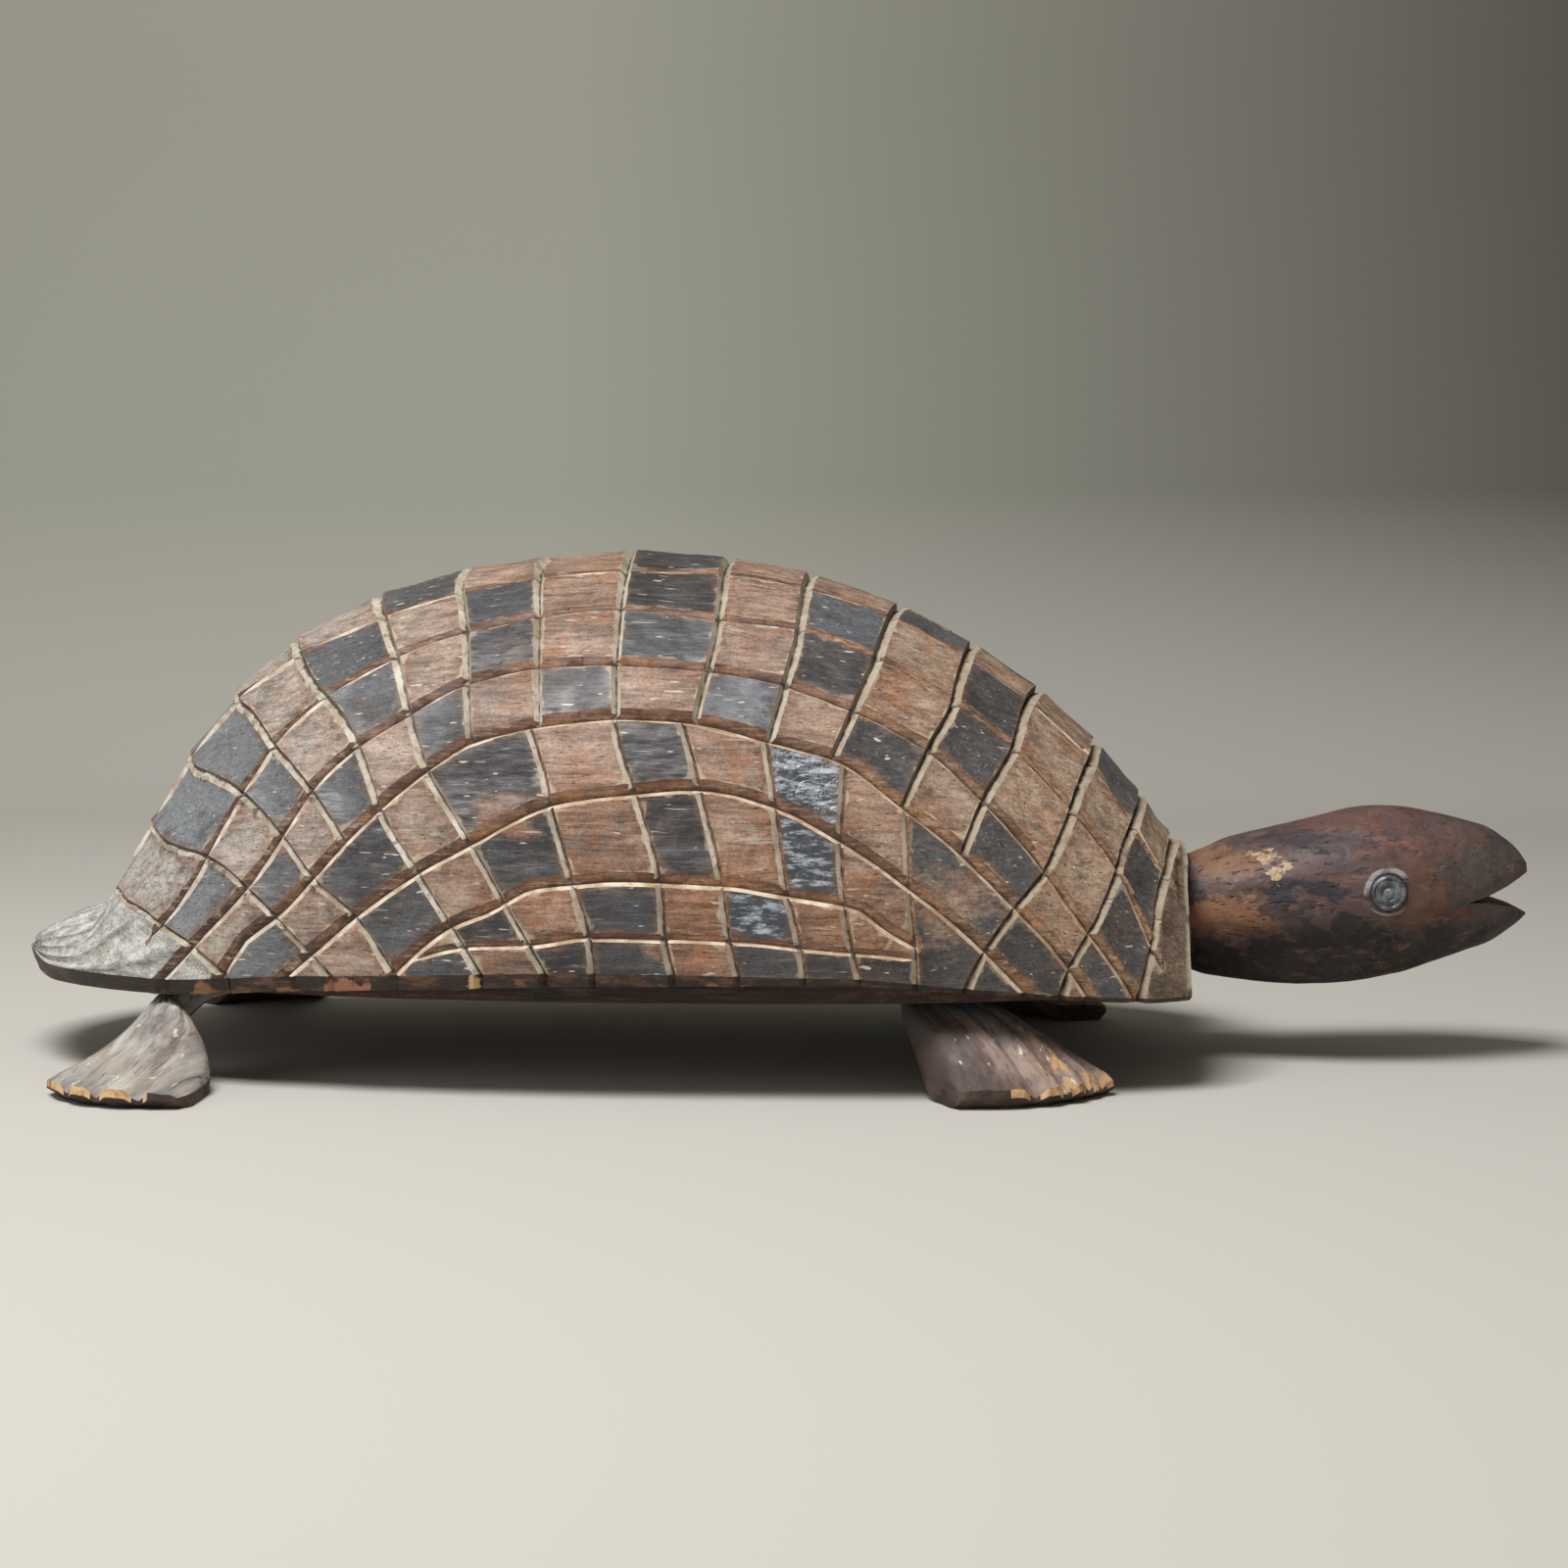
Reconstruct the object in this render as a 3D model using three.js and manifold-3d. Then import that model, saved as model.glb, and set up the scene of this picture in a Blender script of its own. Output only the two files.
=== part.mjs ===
// A hand-carved wooden turtle: a hollow domed shell scored into stained cells, a belly board let into its rim,
// four splayed paddle legs pegged through the board, and a head whose round neck turns in the shell's front.
// Millimetres. +X points to the nose, +Y to the turtle's left and +Z up; the soles stand on Z = 0.
import * as THREE from 'three';
import { mergeVertices } from 'three/addons/utils/BufferGeometryUtils.js';
import Module from 'manifold-3d';

const wasm = await Module();
wasm.setup();

// ---- Driving dimensions ----
const TOTAL_LENGTH = 603; // tail lip to nose
const TAIL_X = -TOTAL_LENGTH / 2;
const NOSE_X = TOTAL_LENGTH / 2;
const SHELL_LENGTH = 468;
const FRONT_X = TAIL_X + SHELL_LENGTH; // the blunt front face of the shell
const RIM_EDGE = 6; // upright edge below the scored cells
const TAIL_LIP_EDGE = 0.6; // the share of the thin tail lip's height that is upright edge
const SHELL_WALL = 24;
const BOARD_THICKNESS = 10;
const BOARD_BOTTOM_Z = 36;
const BOARD_INSET = 12; // from the shell's rim to the board's edge
const GAP = 0.3; // play between pieces that touch
const DOME_SIDES = 14; // facets across the dome
const GROOVE_WIDTH = 6.4;
const GROOVE_DEPTH = 3.4;
const CUTTER_RISE = 2; // height of a groove's cutter above the surface, in groove depths
const CAVITY_STEPS = 12;
const ROUND_SIDES = 48; // facets of the tenon and its socket
const PEG_SIDES = 16;
const BOARD_OUTLINE_STEPS = 14;
const NECK_Z = 59; // axis on which the head turns
const TENON_RADIUS = 14;
const TENON_LENGTH = 34;
const SOCKET_RADIUS = 14.4;
const TURN_LIMIT_DEG = 30;
const NECK_PEG_RADIUS = 4;
const NECK_SLOT_DEPTH = 5; // depth of the tenon's slot that the neck peg runs in
const EYE_RADIUS = 7;
const LEG_TENON_RADIUS = 8;
const LEG_PIN_RADIUS = 2.5;
const LEG_PIN_LENGTH = 26;
const BOARD_PEG_RADIUS = 4;
const BOARD_PEG_BITE = 17; // length of a board peg inside the shell

const BOARD_TOP_Z = BOARD_BOTTOM_Z + BOARD_THICKNESS;
const BOARD_REAR_X = TAIL_X + 57;
const BOARD_FRONT_X = FRONT_X - 45;
const CAVITY_REAR_X = BOARD_REAR_X + 9;
const CAVITY_FRONT_X = BOARD_FRONT_X - 5;
const CAVITY_INSET = 14; // ledge that the belly board rests against
const NECK_PEG_X = FRONT_X - TENON_LENGTH / 2;
const SLOT_FLOOR = TENON_RADIUS - NECK_SLOT_DEPTH;
const PIN_Z = BOARD_TOP_Z + 6;

// ---- Outline curves: [station from the tail, value] ----
const CREST = [[0, 44], [15, 53], [33, 60], [50, 90], [75, 133], [100, 161], [140, 184], [188, 197],
  [244, 202.5], [291, 199], [338, 187.5], [386, 164], [417, 141.6], [448, 110], [465, 87], [468, 85]];
const RIM_BOTTOM = [[0, 40], [20, 35], [65, 35], [119, 39], [175, 42], [242, 44.5], [337, 45.3], [389, 41],
  [454, 35.5], [468, 35]];
const HALF_WIDTH = [[0, 12], [5, 30], [17, 52], [35, 70], [65, 88], [105, 103], [175, 116], [245, 120],
  [335, 117], [389, 108], [425, 98], [455, 86], [468, 76]];

const DOME_STATIONS = [0, 5, 14, 33, 42, 52, 72, 100, 140, 190, 245, 300, 345, 385, 417, 445, 465];

// ---- Grooves on one side: the spine groove as [station, distance from the middle], the rest in side view ----
const SPINE_GROOVE = [[88, 33], [115, 41], [182, 42], [270, 32], [378, 28], [430, 36], [456, 46]];
const ARCS = [
  [[74, 64], [93, 89], [115, 132], [145, 157], [188, 174], [250, 184], [317, 176], [377, 148], [424, 108],
    [453, 61]],
  [[74, 45], [101, 69], [122, 99], [149, 131], [191, 155], [253, 164], [313, 156], [367, 132], [406, 97],
    [447, 39]],
  [[99, 49], [136, 84], [179, 125], [221, 141], [254, 144], [308, 137], [360, 113], [402, 76], [431, 40]],
  [[123, 45], [153, 69], [197, 98], [259, 118], [313, 112], [364, 82], [408, 46]],
  [[167, 50], [205, 73], [257, 85], [316, 81], [364, 62]],
  [[175, 55], [220, 61], [295, 64], [364, 58]],
];
const SPOKES = [
  [[53, 70], [63, 67], [87, 55], [105, 42]],
  [[68, 93], [93, 87], [121, 68], [146, 45]],
  [[77, 120], [103, 113], [122, 99], [168, 49]],
  [[94, 145], [115, 132], [148, 97]],
  [[117, 165], [135, 151], [162, 109], [203, 48]],
  [[149, 182], [162, 163], [178, 125], [227, 48]],
  [[182, 190], [188, 175], [195, 136]],
  [[213, 196], [217, 176], [221, 141]],
  [[247, 199], [248, 183], [250, 143]],
  [[285, 197], [286, 179], [280, 143]],
  [[318, 189], [317, 176], [308, 137]],
  [[353, 177], [347, 165], [332, 131]],
  [[381, 164], [377, 149], [359, 115]],
  [[407, 147], [400, 132], [381, 97]],
  [[431, 126], [413, 90], [381, 44]],
  [[449, 104], [434, 74], [418, 41]],
];
const LOWER_SPOKES = [
  [[217, 140], [236, 85], [244, 48]],
  [[249, 143], [269, 86], [275, 48]],
  [[275, 143], [292, 85], [300, 48]],
  [[307, 137], [316, 83], [323, 47]],
  [[337, 128], [338, 77], [345, 47]],
  [[360, 113], [364, 62], [365, 44]],
];

// ---- Head: [station from the nose, centre height, half height, half width] ----
const HEAD_RINGS = [[-134.5, 59, 23, 23], [-128, 59, 24.8, 24.8], [-117, 59.8, 27.5, 27.2],
  [-101, 61.5, 31, 30], [-84, 64, 33.5, 32], [-66, 66.5, 35, 32], [-50, 67.5, 32.8, 30], [-36, 68.5, 28.8, 26], [-25, 68.7, 25, 21.5],
  [-15, 68.8, 21.5, 16], [-8, 69, 17, 10.5], [-3, 68.8, 12.5, 6.5], [0, 68.6, 9.2, 4]];
const MOUTH = [[-24.5, 66.8], [4, 60], [4, 81]];
const EYE = { station: -57, height: 71, depth: 5 };

// ---- Left legs: [height, centre x, centre y, half length, half thickness, turn in degrees] ----
const LEG_TOP_Z = BOARD_BOTTOM_Z - GAP;
const FRONT_LEG = [[0, 105, 97, 31, 9, -30], [7, 104, 96, 33, 10, -30], [20, 88, 82, 23, 11, -20],
  [31, 77, 72, 17, 13, -8], [LEG_TOP_Z, 76, 61, 17, 15, 0]];
const REAR_LEG = [[0, -239, 118, 31, 15, 25], [7, -239, 117, 32.5, 16, 25], [20, -225, 102, 23.5, 14, 20],
  [31, -220, 74, 17, 14, 12], [LEG_TOP_Z, -211, 56, 16, 14, 0]];
const FRONT_TENON = [76, 56];
const REAR_TENON = [-210, 52];
const BOARD_PEGS = [[-234, 0], [-110, 89], [20, 89], [114, 0], [-110, -89], [20, -89]];

// ---- Colours ----
const wood = (color, roughness) => new THREE.MeshStandardMaterial({ color, roughness, metalness: 0 });
const SHELL_WOOD = wood(0x6d5244, 0.62);
const BELLY_WOOD = wood(0x3a2119, 0.75);
const HEAD_WOOD = wood(0x5a2d1f, 0.42);
const LEG_WOOD = wood(0x5d4c42, 0.7);
const PEG_WOOD = wood(0xa07850, 0.7);
const EYE_STAIN = wood(0x2c2a2b, 0.25);

// A smooth curve through [x, value] points that never overshoots them.
function smooth(points) {
  const slopes = points.slice(1).map((p, i) => (p[1] - points[i][1]) / (p[0] - points[i][0]));
  const tangents = points.map((p, i) => {
    const [before, after] = [slopes[Math.max(i - 1, 0)], slopes[Math.min(i, slopes.length - 1)]];
    return before * after <= 0 ? 0 : (2 * before * after) / (before + after);
  });
  return (x) => {
    const inside = Math.min(Math.max(x, points[0][0]), points.at(-1)[0]);
    const i = Math.max(points.findIndex((p) => p[0] >= inside) - 1, 0);
    const width = points[i + 1][0] - points[i][0];
    const t = (inside - points[i][0]) / width;
    return points[i][1] * (1 + 2 * t) * (1 - t) ** 2 + points[i + 1][1] * t * t * (3 - 2 * t)
      + width * (tangents[i] * t * (1 - t) ** 2 - tangents[i + 1] * t * t * (1 - t));
  };
}
const crest = smooth(CREST);
const rimBottom = smooth(RIM_BOTTOM);
const halfWidth = smooth(HALF_WIDTH);

// ---- Solids ----
function solid(geometry) {
  geometry.deleteAttribute('normal');
  geometry.deleteAttribute('uv');
  const merged = mergeVertices(geometry, 1e-4);
  return new wasm.Manifold(new wasm.Mesh({
    numProp: 3,
    vertProperties: Float32Array.from(merged.attributes.position.array),
    triVerts: Uint32Array.from(merged.index.array),
  }));
}

// Joins rings of equal length into a closed skin with a fan over each end; mirrors it when asked.
function loft(rings) {
  const count = rings[0].length;
  const centre = (ring) => ring.reduce((sum, p) => sum.add(p), new THREE.Vector3()).divideScalar(count);
  const points = [...rings.flat(), centre(rings[0]), centre(rings.at(-1))];
  const [firstHub, lastHub] = [points.length - 2, points.length - 1];
  const lastRing = (rings.length - 1) * count;
  const index = [];
  for (let k = 0; k < count; k += 1) {
    const next = (k + 1) % count;
    for (let r = 0; r < lastRing; r += count) {
      index.push(r + k, r + next, r + count + next, r + k, r + count + next, r + count + k);
    }
    index.push(firstHub, next, k, lastHub, lastRing + k, lastRing + next);
  }
  const geometry = new THREE.BufferGeometry().setFromPoints(points);
  geometry.setIndex(index);
  return solid(geometry);
}

// A flat plate on an outline, between two heights.
function extrudeUp(outline, bottom, top) {
  const options = { depth: top - bottom, bevelEnabled: false };
  return solid(new THREE.ExtrudeGeometry(new THREE.Shape(outline), options).translate(0, 0, bottom));
}

function rod(radius, length, centre, axis, sides = 24) {
  const geometry = new THREE.CylinderGeometry(radius, radius, length, sides);
  const turn = new THREE.Quaternion().setFromUnitVectors(new THREE.Vector3(0, 1, 0), axis);
  return solid(geometry.applyQuaternion(turn).translate(...centre));
}
const ALONG_X = new THREE.Vector3(1, 0, 0);
const ALONG_Y = new THREE.Vector3(0, 1, 0);
const ALONG_Z = new THREE.Vector3(0, 0, 1);

// An upright rod between two heights.
function upright(radius, x, y, bottom, top, sides) {
  return rod(radius, top - bottom, [x, y, (bottom + top) / 2], ALONG_Z, sides);
}

// ---- Shell ----
// Half an ellipse that stands on its base, with both ends carried straight down to the foot.
function archRing(x, width, base, top, foot, segments) {
  const ring = [new THREE.Vector3(x, -width, foot)];
  for (let k = 0; k <= segments; k += 1) {
    const angle = ((k / segments) - 0.5) * Math.PI;
    ring.push(new THREE.Vector3(x, width * Math.sin(angle), base + (top - base) * Math.cos(angle)));
  }
  ring.push(new THREE.Vector3(x, width, foot));
  return ring.reverse();
}

function shellRing(station, shrink = 0) {
  const foot = rimBottom(station) + shrink;
  const edge = Math.min(RIM_EDGE, (crest(station) - foot) * TAIL_LIP_EDGE);
  const width = halfWidth(station) - shrink;
  return archRing(TAIL_X + station, width, foot + edge, crest(station) - shrink, foot, DOME_SIDES);
}

// The dome's point at a station and a distance from the middle, with the direction straight out of the dome.
function onDome(station, y) {
  const base = rimBottom(station) + RIM_EDGE;
  const rise = crest(station) - base;
  const slope = y / halfWidth(station);
  const height = Math.sqrt(Math.max(0, 1 - slope * slope));
  return {
    at: new THREE.Vector3(TAIL_X + station, y, base + rise * height),
    outward: new THREE.Vector3(0, slope / halfWidth(station), height / rise).normalize(),
  };
}

// The point of the dome that lies behind a side-view point, on the right (-1) or the left (1).
function behind([station, height], side) {
  const base = rimBottom(station) + RIM_EDGE;
  const rise = THREE.MathUtils.clamp((height - base) / (crest(station) - base), 0, 1);
  return onDome(station, side * halfWidth(station) * Math.sqrt(1 - rise * rise));
}

// A V-shaped cutter that follows points of the dome.
function groove(points) {
  const rings = points.map(({ at, outward }, i) => {
    const along = points[Math.min(i + 1, points.length - 1)].at.clone().sub(points[Math.max(i - 1, 0)].at);
    const across = outward.clone().cross(along).setLength((GROOVE_WIDTH / 2) * (1 + CUTTER_RISE));
    const top = at.clone().addScaledVector(outward, GROOVE_DEPTH * CUTTER_RISE);
    const bottom = at.clone().addScaledVector(outward, -GROOVE_DEPTH);
    return [top.clone().add(across), top.clone().sub(across), bottom];
  });
  return loft(rings);
}

// The same curve with its points evenly spaced.
function resample(points, count) {
  return new THREE.SplineCurve(points.map((p) => new THREE.Vector2(...p))).getSpacedPoints(count)
    .map((p) => [p.x, p.y]);
}

// The long grooves and short lower spokes run on each side. The upper spokes run over the crest to both sides.
function grooves() {
  const cuts = [];
  for (const side of [-1, 1]) {
    cuts.push(groove(resample(SPINE_GROOVE, 8).map(([station, y]) => onDome(station, side * y))));
    for (const arc of ARCS) cuts.push(groove(resample(arc, 8).map((p) => behind(p, side))));
    for (const spoke of LOWER_SPOKES) cuts.push(groove(resample(spoke, 2).map((p) => behind(p, side))));
  }
  for (const spoke of SPOKES) {
    const half = resample(spoke, 3);
    const right = half.map((p) => behind(p, -1)).reverse();
    const left = half.map((p) => behind(p, 1));
    cuts.push(groove([...right, onDome(spoke[0][0], 0), ...left]));
  }
  return cuts;
}

// The hollow inside the shell, down to the shell's lowest edge.
function cavity() {
  const rings = [];
  for (let k = 0; k <= CAVITY_STEPS; k += 1) {
    const x = THREE.MathUtils.lerp(CAVITY_REAR_X, CAVITY_FRONT_X, k / CAVITY_STEPS);
    const station = x - TAIL_X;
    const width = halfWidth(station) - BOARD_INSET - CAVITY_INSET;
    const wallFoot = BOARD_TOP_Z + 4;
    rings.push(archRing(x, width, wallFoot, crest(station) - SHELL_WALL, BOARD_BOTTOM_Z, CAVITY_STEPS));
  }
  return loft(rings);
}

function makeShell() {
  const outer = loft([...DOME_STATIONS.map((station) => shellRing(station)), shellRing(SHELL_LENGTH, 1)]);
  let shell = outer.subtract(cavity()).subtract(extrudeUp(boardOutline(0), 0, BOARD_TOP_Z + GAP));
  for (const cut of grooves()) shell = shell.subtract(cut);

  const socketLength = 2 * (TENON_LENGTH + 4);
  shell = shell.subtract(rod(SOCKET_RADIUS, socketLength, [FRONT_X, 0, NECK_Z], ALONG_X, ROUND_SIDES));
  shell = shell.subtract(upright(NECK_PEG_RADIUS + GAP, NECK_PEG_X, 0, 0, NECK_Z, PEG_SIDES));
  for (const [x, y] of BOARD_PEGS) {
    const holeTop = BOARD_TOP_Z + BOARD_PEG_BITE + 1;
    shell = shell.subtract(upright(BOARD_PEG_RADIUS + GAP, x, y, 0, holeTop, PEG_SIDES));
  }
  return shell;
}

// ---- Belly board ----
// The board's outline follows the shell's rim, smaller all round by the play.
function boardOutline(play) {
  const right = [];
  for (let k = 0; k <= BOARD_OUTLINE_STEPS; k += 1) {
    const x = THREE.MathUtils.lerp(BOARD_REAR_X + play, BOARD_FRONT_X - play, k / BOARD_OUTLINE_STEPS);
    right.push(new THREE.Vector2(x, -(halfWidth(x - TAIL_X) - BOARD_INSET - play)));
  }
  return [...right, ...right.map((p) => new THREE.Vector2(p.x, -p.y)).reverse()];
}

function makeBoard() {
  let board = extrudeUp(boardOutline(GAP), BOARD_BOTTOM_Z, BOARD_TOP_Z);
  const drill = (radius, x, y) => {
    board = board.subtract(upright(radius + GAP, x, y, 0, 2 * BOARD_TOP_Z, PEG_SIDES));
  };
  for (const side of [-1, 1]) {
    for (const [x, y] of [FRONT_TENON, REAR_TENON]) drill(LEG_TENON_RADIUS, x, side * y);
  }
  for (const [x, y] of BOARD_PEGS) drill(BOARD_PEG_RADIUS, x, y);
  return board;
}

// ---- Legs ----
// A leg is lofted through its levels, with a round tenon that passes up through the board and is cross-drilled.
function makeLeg(levels, [tenonX, tenonY], side) {
  const sides = 24;
  const rings = levels.map(([z, x, y, half, thick, turn]) => {
    const angle = side * THREE.MathUtils.degToRad(turn);
    return new THREE.EllipseCurve(x, side * y, half, thick, 0, 2 * Math.PI, false, angle).getPoints(sides)
      .slice(0, sides).map((p) => new THREE.Vector3(p.x, p.y, z));
  });
  const tenonTop = BOARD_TOP_Z + 12;
  const tenon = upright(LEG_TENON_RADIUS, tenonX, side * tenonY, BOARD_BOTTOM_Z - 4, tenonTop, PEG_SIDES);
  return loft(rings).add(tenon).subtract(legPin(tenonX, side * tenonY, GAP));
}

function legPin(x, y, play = 0) {
  return rod(LEG_PIN_RADIUS + play, LEG_PIN_LENGTH, [x, y, PIN_Z], ALONG_X, PEG_SIDES);
}

// ---- Head ----
const eyeX = NOSE_X + EYE.station;
const headWidthAt = smooth(HEAD_RINGS.map((r) => [r[0], r[3]]));
const headMiddleAt = smooth(HEAD_RINGS.map((r) => [r[0], r[1]]));
const headHalfHeightAt = smooth(HEAD_RINGS.map((r) => [r[0], r[2]]));
const eyeRise = (EYE.height - headMiddleAt(EYE.station)) / headHalfHeightAt(EYE.station);
const eyeSurfaceY = headWidthAt(EYE.station) * Math.sqrt(1 - eyeRise ** 2);

// The round tenon behind the neck, with its front end sunk into the neck.
function neckTenon() {
  const neckFace = NOSE_X + HEAD_RINGS[0][0];
  const sunk = 4;
  const middle = neckFace + (sunk - TENON_LENGTH) / 2;
  return rod(TENON_RADIUS, TENON_LENGTH + sunk, [middle, 0, NECK_Z], ALONG_X, ROUND_SIDES);
}

function mouthWedge() {
  const mouth = new THREE.Shape(MOUTH.map(([station, z]) => new THREE.Vector2(NOSE_X + station, z)));
  const depth = 90;
  const wedge = new THREE.ExtrudeGeometry(mouth, { depth, bevelEnabled: false });
  return solid(wedge.rotateX(Math.PI / 2).translate(0, depth / 2, 0));
}

// The arc slot under the tenon that the neck peg's tip runs in, as long as the head's turn needs.
function pegSlot() {
  const play = 0.5;
  const down = -Math.PI / 2;
  const turn = THREE.MathUtils.degToRad(TURN_LIMIT_DEG + 0.5);
  const reach = turn + Math.asin((NECK_PEG_RADIUS + play) / SLOT_FLOOR);
  const outline = new THREE.Shape();
  outline.absarc(0, 0, TENON_RADIUS + 2, down - reach, down + reach, false);
  outline.absarc(0, 0, SLOT_FLOOR, down + reach, down - reach, true);
  const width = 2 * (NECK_PEG_RADIUS + play);
  const slot = new THREE.ExtrudeGeometry(outline, { depth: width, bevelEnabled: false, curveSegments: 24 });
  return solid(slot.rotateX(Math.PI / 2).rotateZ(Math.PI / 2).translate(NECK_PEG_X - width / 2, 0, NECK_Z));
}

function makeHead() {
  const sides = 32;
  const rings = HEAD_RINGS.map(([station, z, height, width]) => (
    new THREE.EllipseCurve(0, 0, width, height).getPoints(sides).slice(0, sides)
      .map((p) => new THREE.Vector3(NOSE_X + station, p.x, z + p.y))
  ));
  let head = loft(rings).add(neckTenon()).subtract(mouthWedge()).subtract(pegSlot());
  for (const side of [-1, 1]) {
    const socket = [eyeX, side * eyeSurfaceY, EYE.height];
    head = head.subtract(rod(EYE_RADIUS + GAP, 2 * EYE.depth, socket, ALONG_Y));
  }
  return head;
}

// A round stud with a low domed face, let into the side of the head.
function makeEye(side) {
  const depth = EYE.depth;
  const profile = [[0, 0], [1, 0], [1, depth - 1], [0.8, depth], [0.4, depth + 0.8], [0, depth + 1]]
    .map(([r, h]) => new THREE.Vector2(EYE_RADIUS * r, h));
  const geometry = new THREE.LatheGeometry(profile, 24);
  if (side < 0) geometry.rotateX(Math.PI);
  return solid(geometry.translate(eyeX, side * (eyeSurfaceY - EYE.depth + 1), EYE.height));
}

// ---- Pieces ----
const group = new THREE.Group();

// Adds a solid to the group as a named mesh.
function addSolid(name, body, material) {
  const mesh = body.getMesh();
  const geometry = new THREE.BufferGeometry();
  geometry.setAttribute('position', new THREE.BufferAttribute(mesh.vertProperties, 3));
  geometry.setIndex(new THREE.BufferAttribute(mesh.triVerts, 1));
  geometry.computeVertexNormals();
  const piece = new THREE.Mesh(geometry, material);
  piece.name = name;
  group.add(piece);
}

addSolid('carapace', makeShell(), SHELL_WOOD);
addSolid('belly_board', makeBoard(), BELLY_WOOD);
addSolid('head', makeHead(), HEAD_WOOD);
const neckPegTop = NECK_Z - SLOT_FLOOR - GAP;
addSolid('neck_peg', upright(NECK_PEG_RADIUS, NECK_PEG_X, 0, BOARD_BOTTOM_Z, neckPegTop, PEG_SIDES), PEG_WOOD);
for (const [side, name] of [[-1, 'right'], [1, 'left']]) {
  addSolid(`eye_${name}`, makeEye(side), EYE_STAIN);
  for (const [end, levels, tenon] of [['front', FRONT_LEG, FRONT_TENON], ['rear', REAR_LEG, REAR_TENON]]) {
    addSolid(`leg_${end}_${name}`, makeLeg(levels, tenon, side), LEG_WOOD);
    addSolid(`leg_pin_${end}_${name}`, legPin(tenon[0], side * tenon[1]), PEG_WOOD);
  }
}
BOARD_PEGS.forEach(([x, y], i) => {
  const peg = upright(BOARD_PEG_RADIUS, x, y, BOARD_BOTTOM_Z, BOARD_TOP_Z + BOARD_PEG_BITE, PEG_SIDES);
  addSolid(`board_peg_${i + 1}`, peg, PEG_WOOD);
});

export default group;
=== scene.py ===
"""A hand-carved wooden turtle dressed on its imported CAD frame: stained shell, head, feet and belly board."""
import math
import random

import bmesh
import bpy
import numpy as np
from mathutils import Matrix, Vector, noise
from mathutils.geometry import delaunay_2d_cdt
from mathutils.kdtree import KDTree


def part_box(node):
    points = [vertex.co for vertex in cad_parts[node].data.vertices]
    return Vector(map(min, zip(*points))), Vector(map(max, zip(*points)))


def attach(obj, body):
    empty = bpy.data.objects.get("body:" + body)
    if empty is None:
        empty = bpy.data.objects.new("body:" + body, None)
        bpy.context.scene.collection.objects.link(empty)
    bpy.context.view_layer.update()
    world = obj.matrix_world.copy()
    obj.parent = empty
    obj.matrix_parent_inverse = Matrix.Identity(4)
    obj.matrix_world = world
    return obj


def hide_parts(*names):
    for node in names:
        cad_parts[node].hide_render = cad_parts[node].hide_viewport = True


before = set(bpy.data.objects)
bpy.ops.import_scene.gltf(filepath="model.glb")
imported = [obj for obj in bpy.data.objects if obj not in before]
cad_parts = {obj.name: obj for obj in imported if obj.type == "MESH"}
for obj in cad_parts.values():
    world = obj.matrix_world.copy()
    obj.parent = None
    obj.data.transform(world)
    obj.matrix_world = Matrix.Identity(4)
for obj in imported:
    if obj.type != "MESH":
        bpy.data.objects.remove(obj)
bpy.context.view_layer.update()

dice = random.Random(7)

# ---- Driving dimensions. Shapes are in millimetres, scaled by MM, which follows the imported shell. ----
shell_low, shell_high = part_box("carapace")
SHELL_LENGTH = 468
MM = (shell_high.x - shell_low.x) / SHELL_LENGTH
TAIL_X = shell_low.x / MM
FRONT_X = shell_high.x / MM
NOSE_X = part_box("head")[1].x / MM
BOARD_BOTTOM_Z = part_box("belly_board")[0].z / MM
BOARD_TOP_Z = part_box("belly_board")[1].z / MM
RIM_ANGLE = 90
ANGLE_MM = 2.55  # millimetres of the unrolled shell for each degree down from the crest
POINT_STEP = 3.4  # between the free points of the unrolled shell
LINE_STEP = 2.2  # between the points of a groove
RIM_STEP = 3.0
END_STEP = 5.0
LINE_GAP = 1.35  # least distance from a free point to a groove, the rim or an end
PAST_RIM = 20  # how far the unrolled shell runs on below its rim
EDGE_REACH = 7  # how far a cell's worn border reaches in from its groove
FAR = 1e9

# ---- Outline curves: [station from the tail, value] ----
CREST = [[0, 44], [15, 53], [33, 60], [50, 90], [75, 133], [100, 161], [140, 184], [188, 197],
         [244, 202.5], [291, 199], [338, 187.5], [386, 164], [417, 141.6], [448, 110], [465, 87],
         [468, 85]]
RIM_BOTTOM = [[0, 40], [20, 35], [65, 35], [119, 39], [175, 42], [242, 44.5], [337, 45.3], [389, 41],
              [454, 35.5], [468, 35]]
HALF_WIDTH = [[0, 12], [5, 30], [17, 52], [35, 70], [65, 88], [105, 103], [175, 116], [245, 120],
              [335, 117], [389, 108], [425, 98], [455, 86], [468, 76]]
RIM_EDGE = [[0, 6], [90, 6], [250, 5], [330, 3], [400, 2], [468, 1.8]]  # upright edge under the cells

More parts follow.
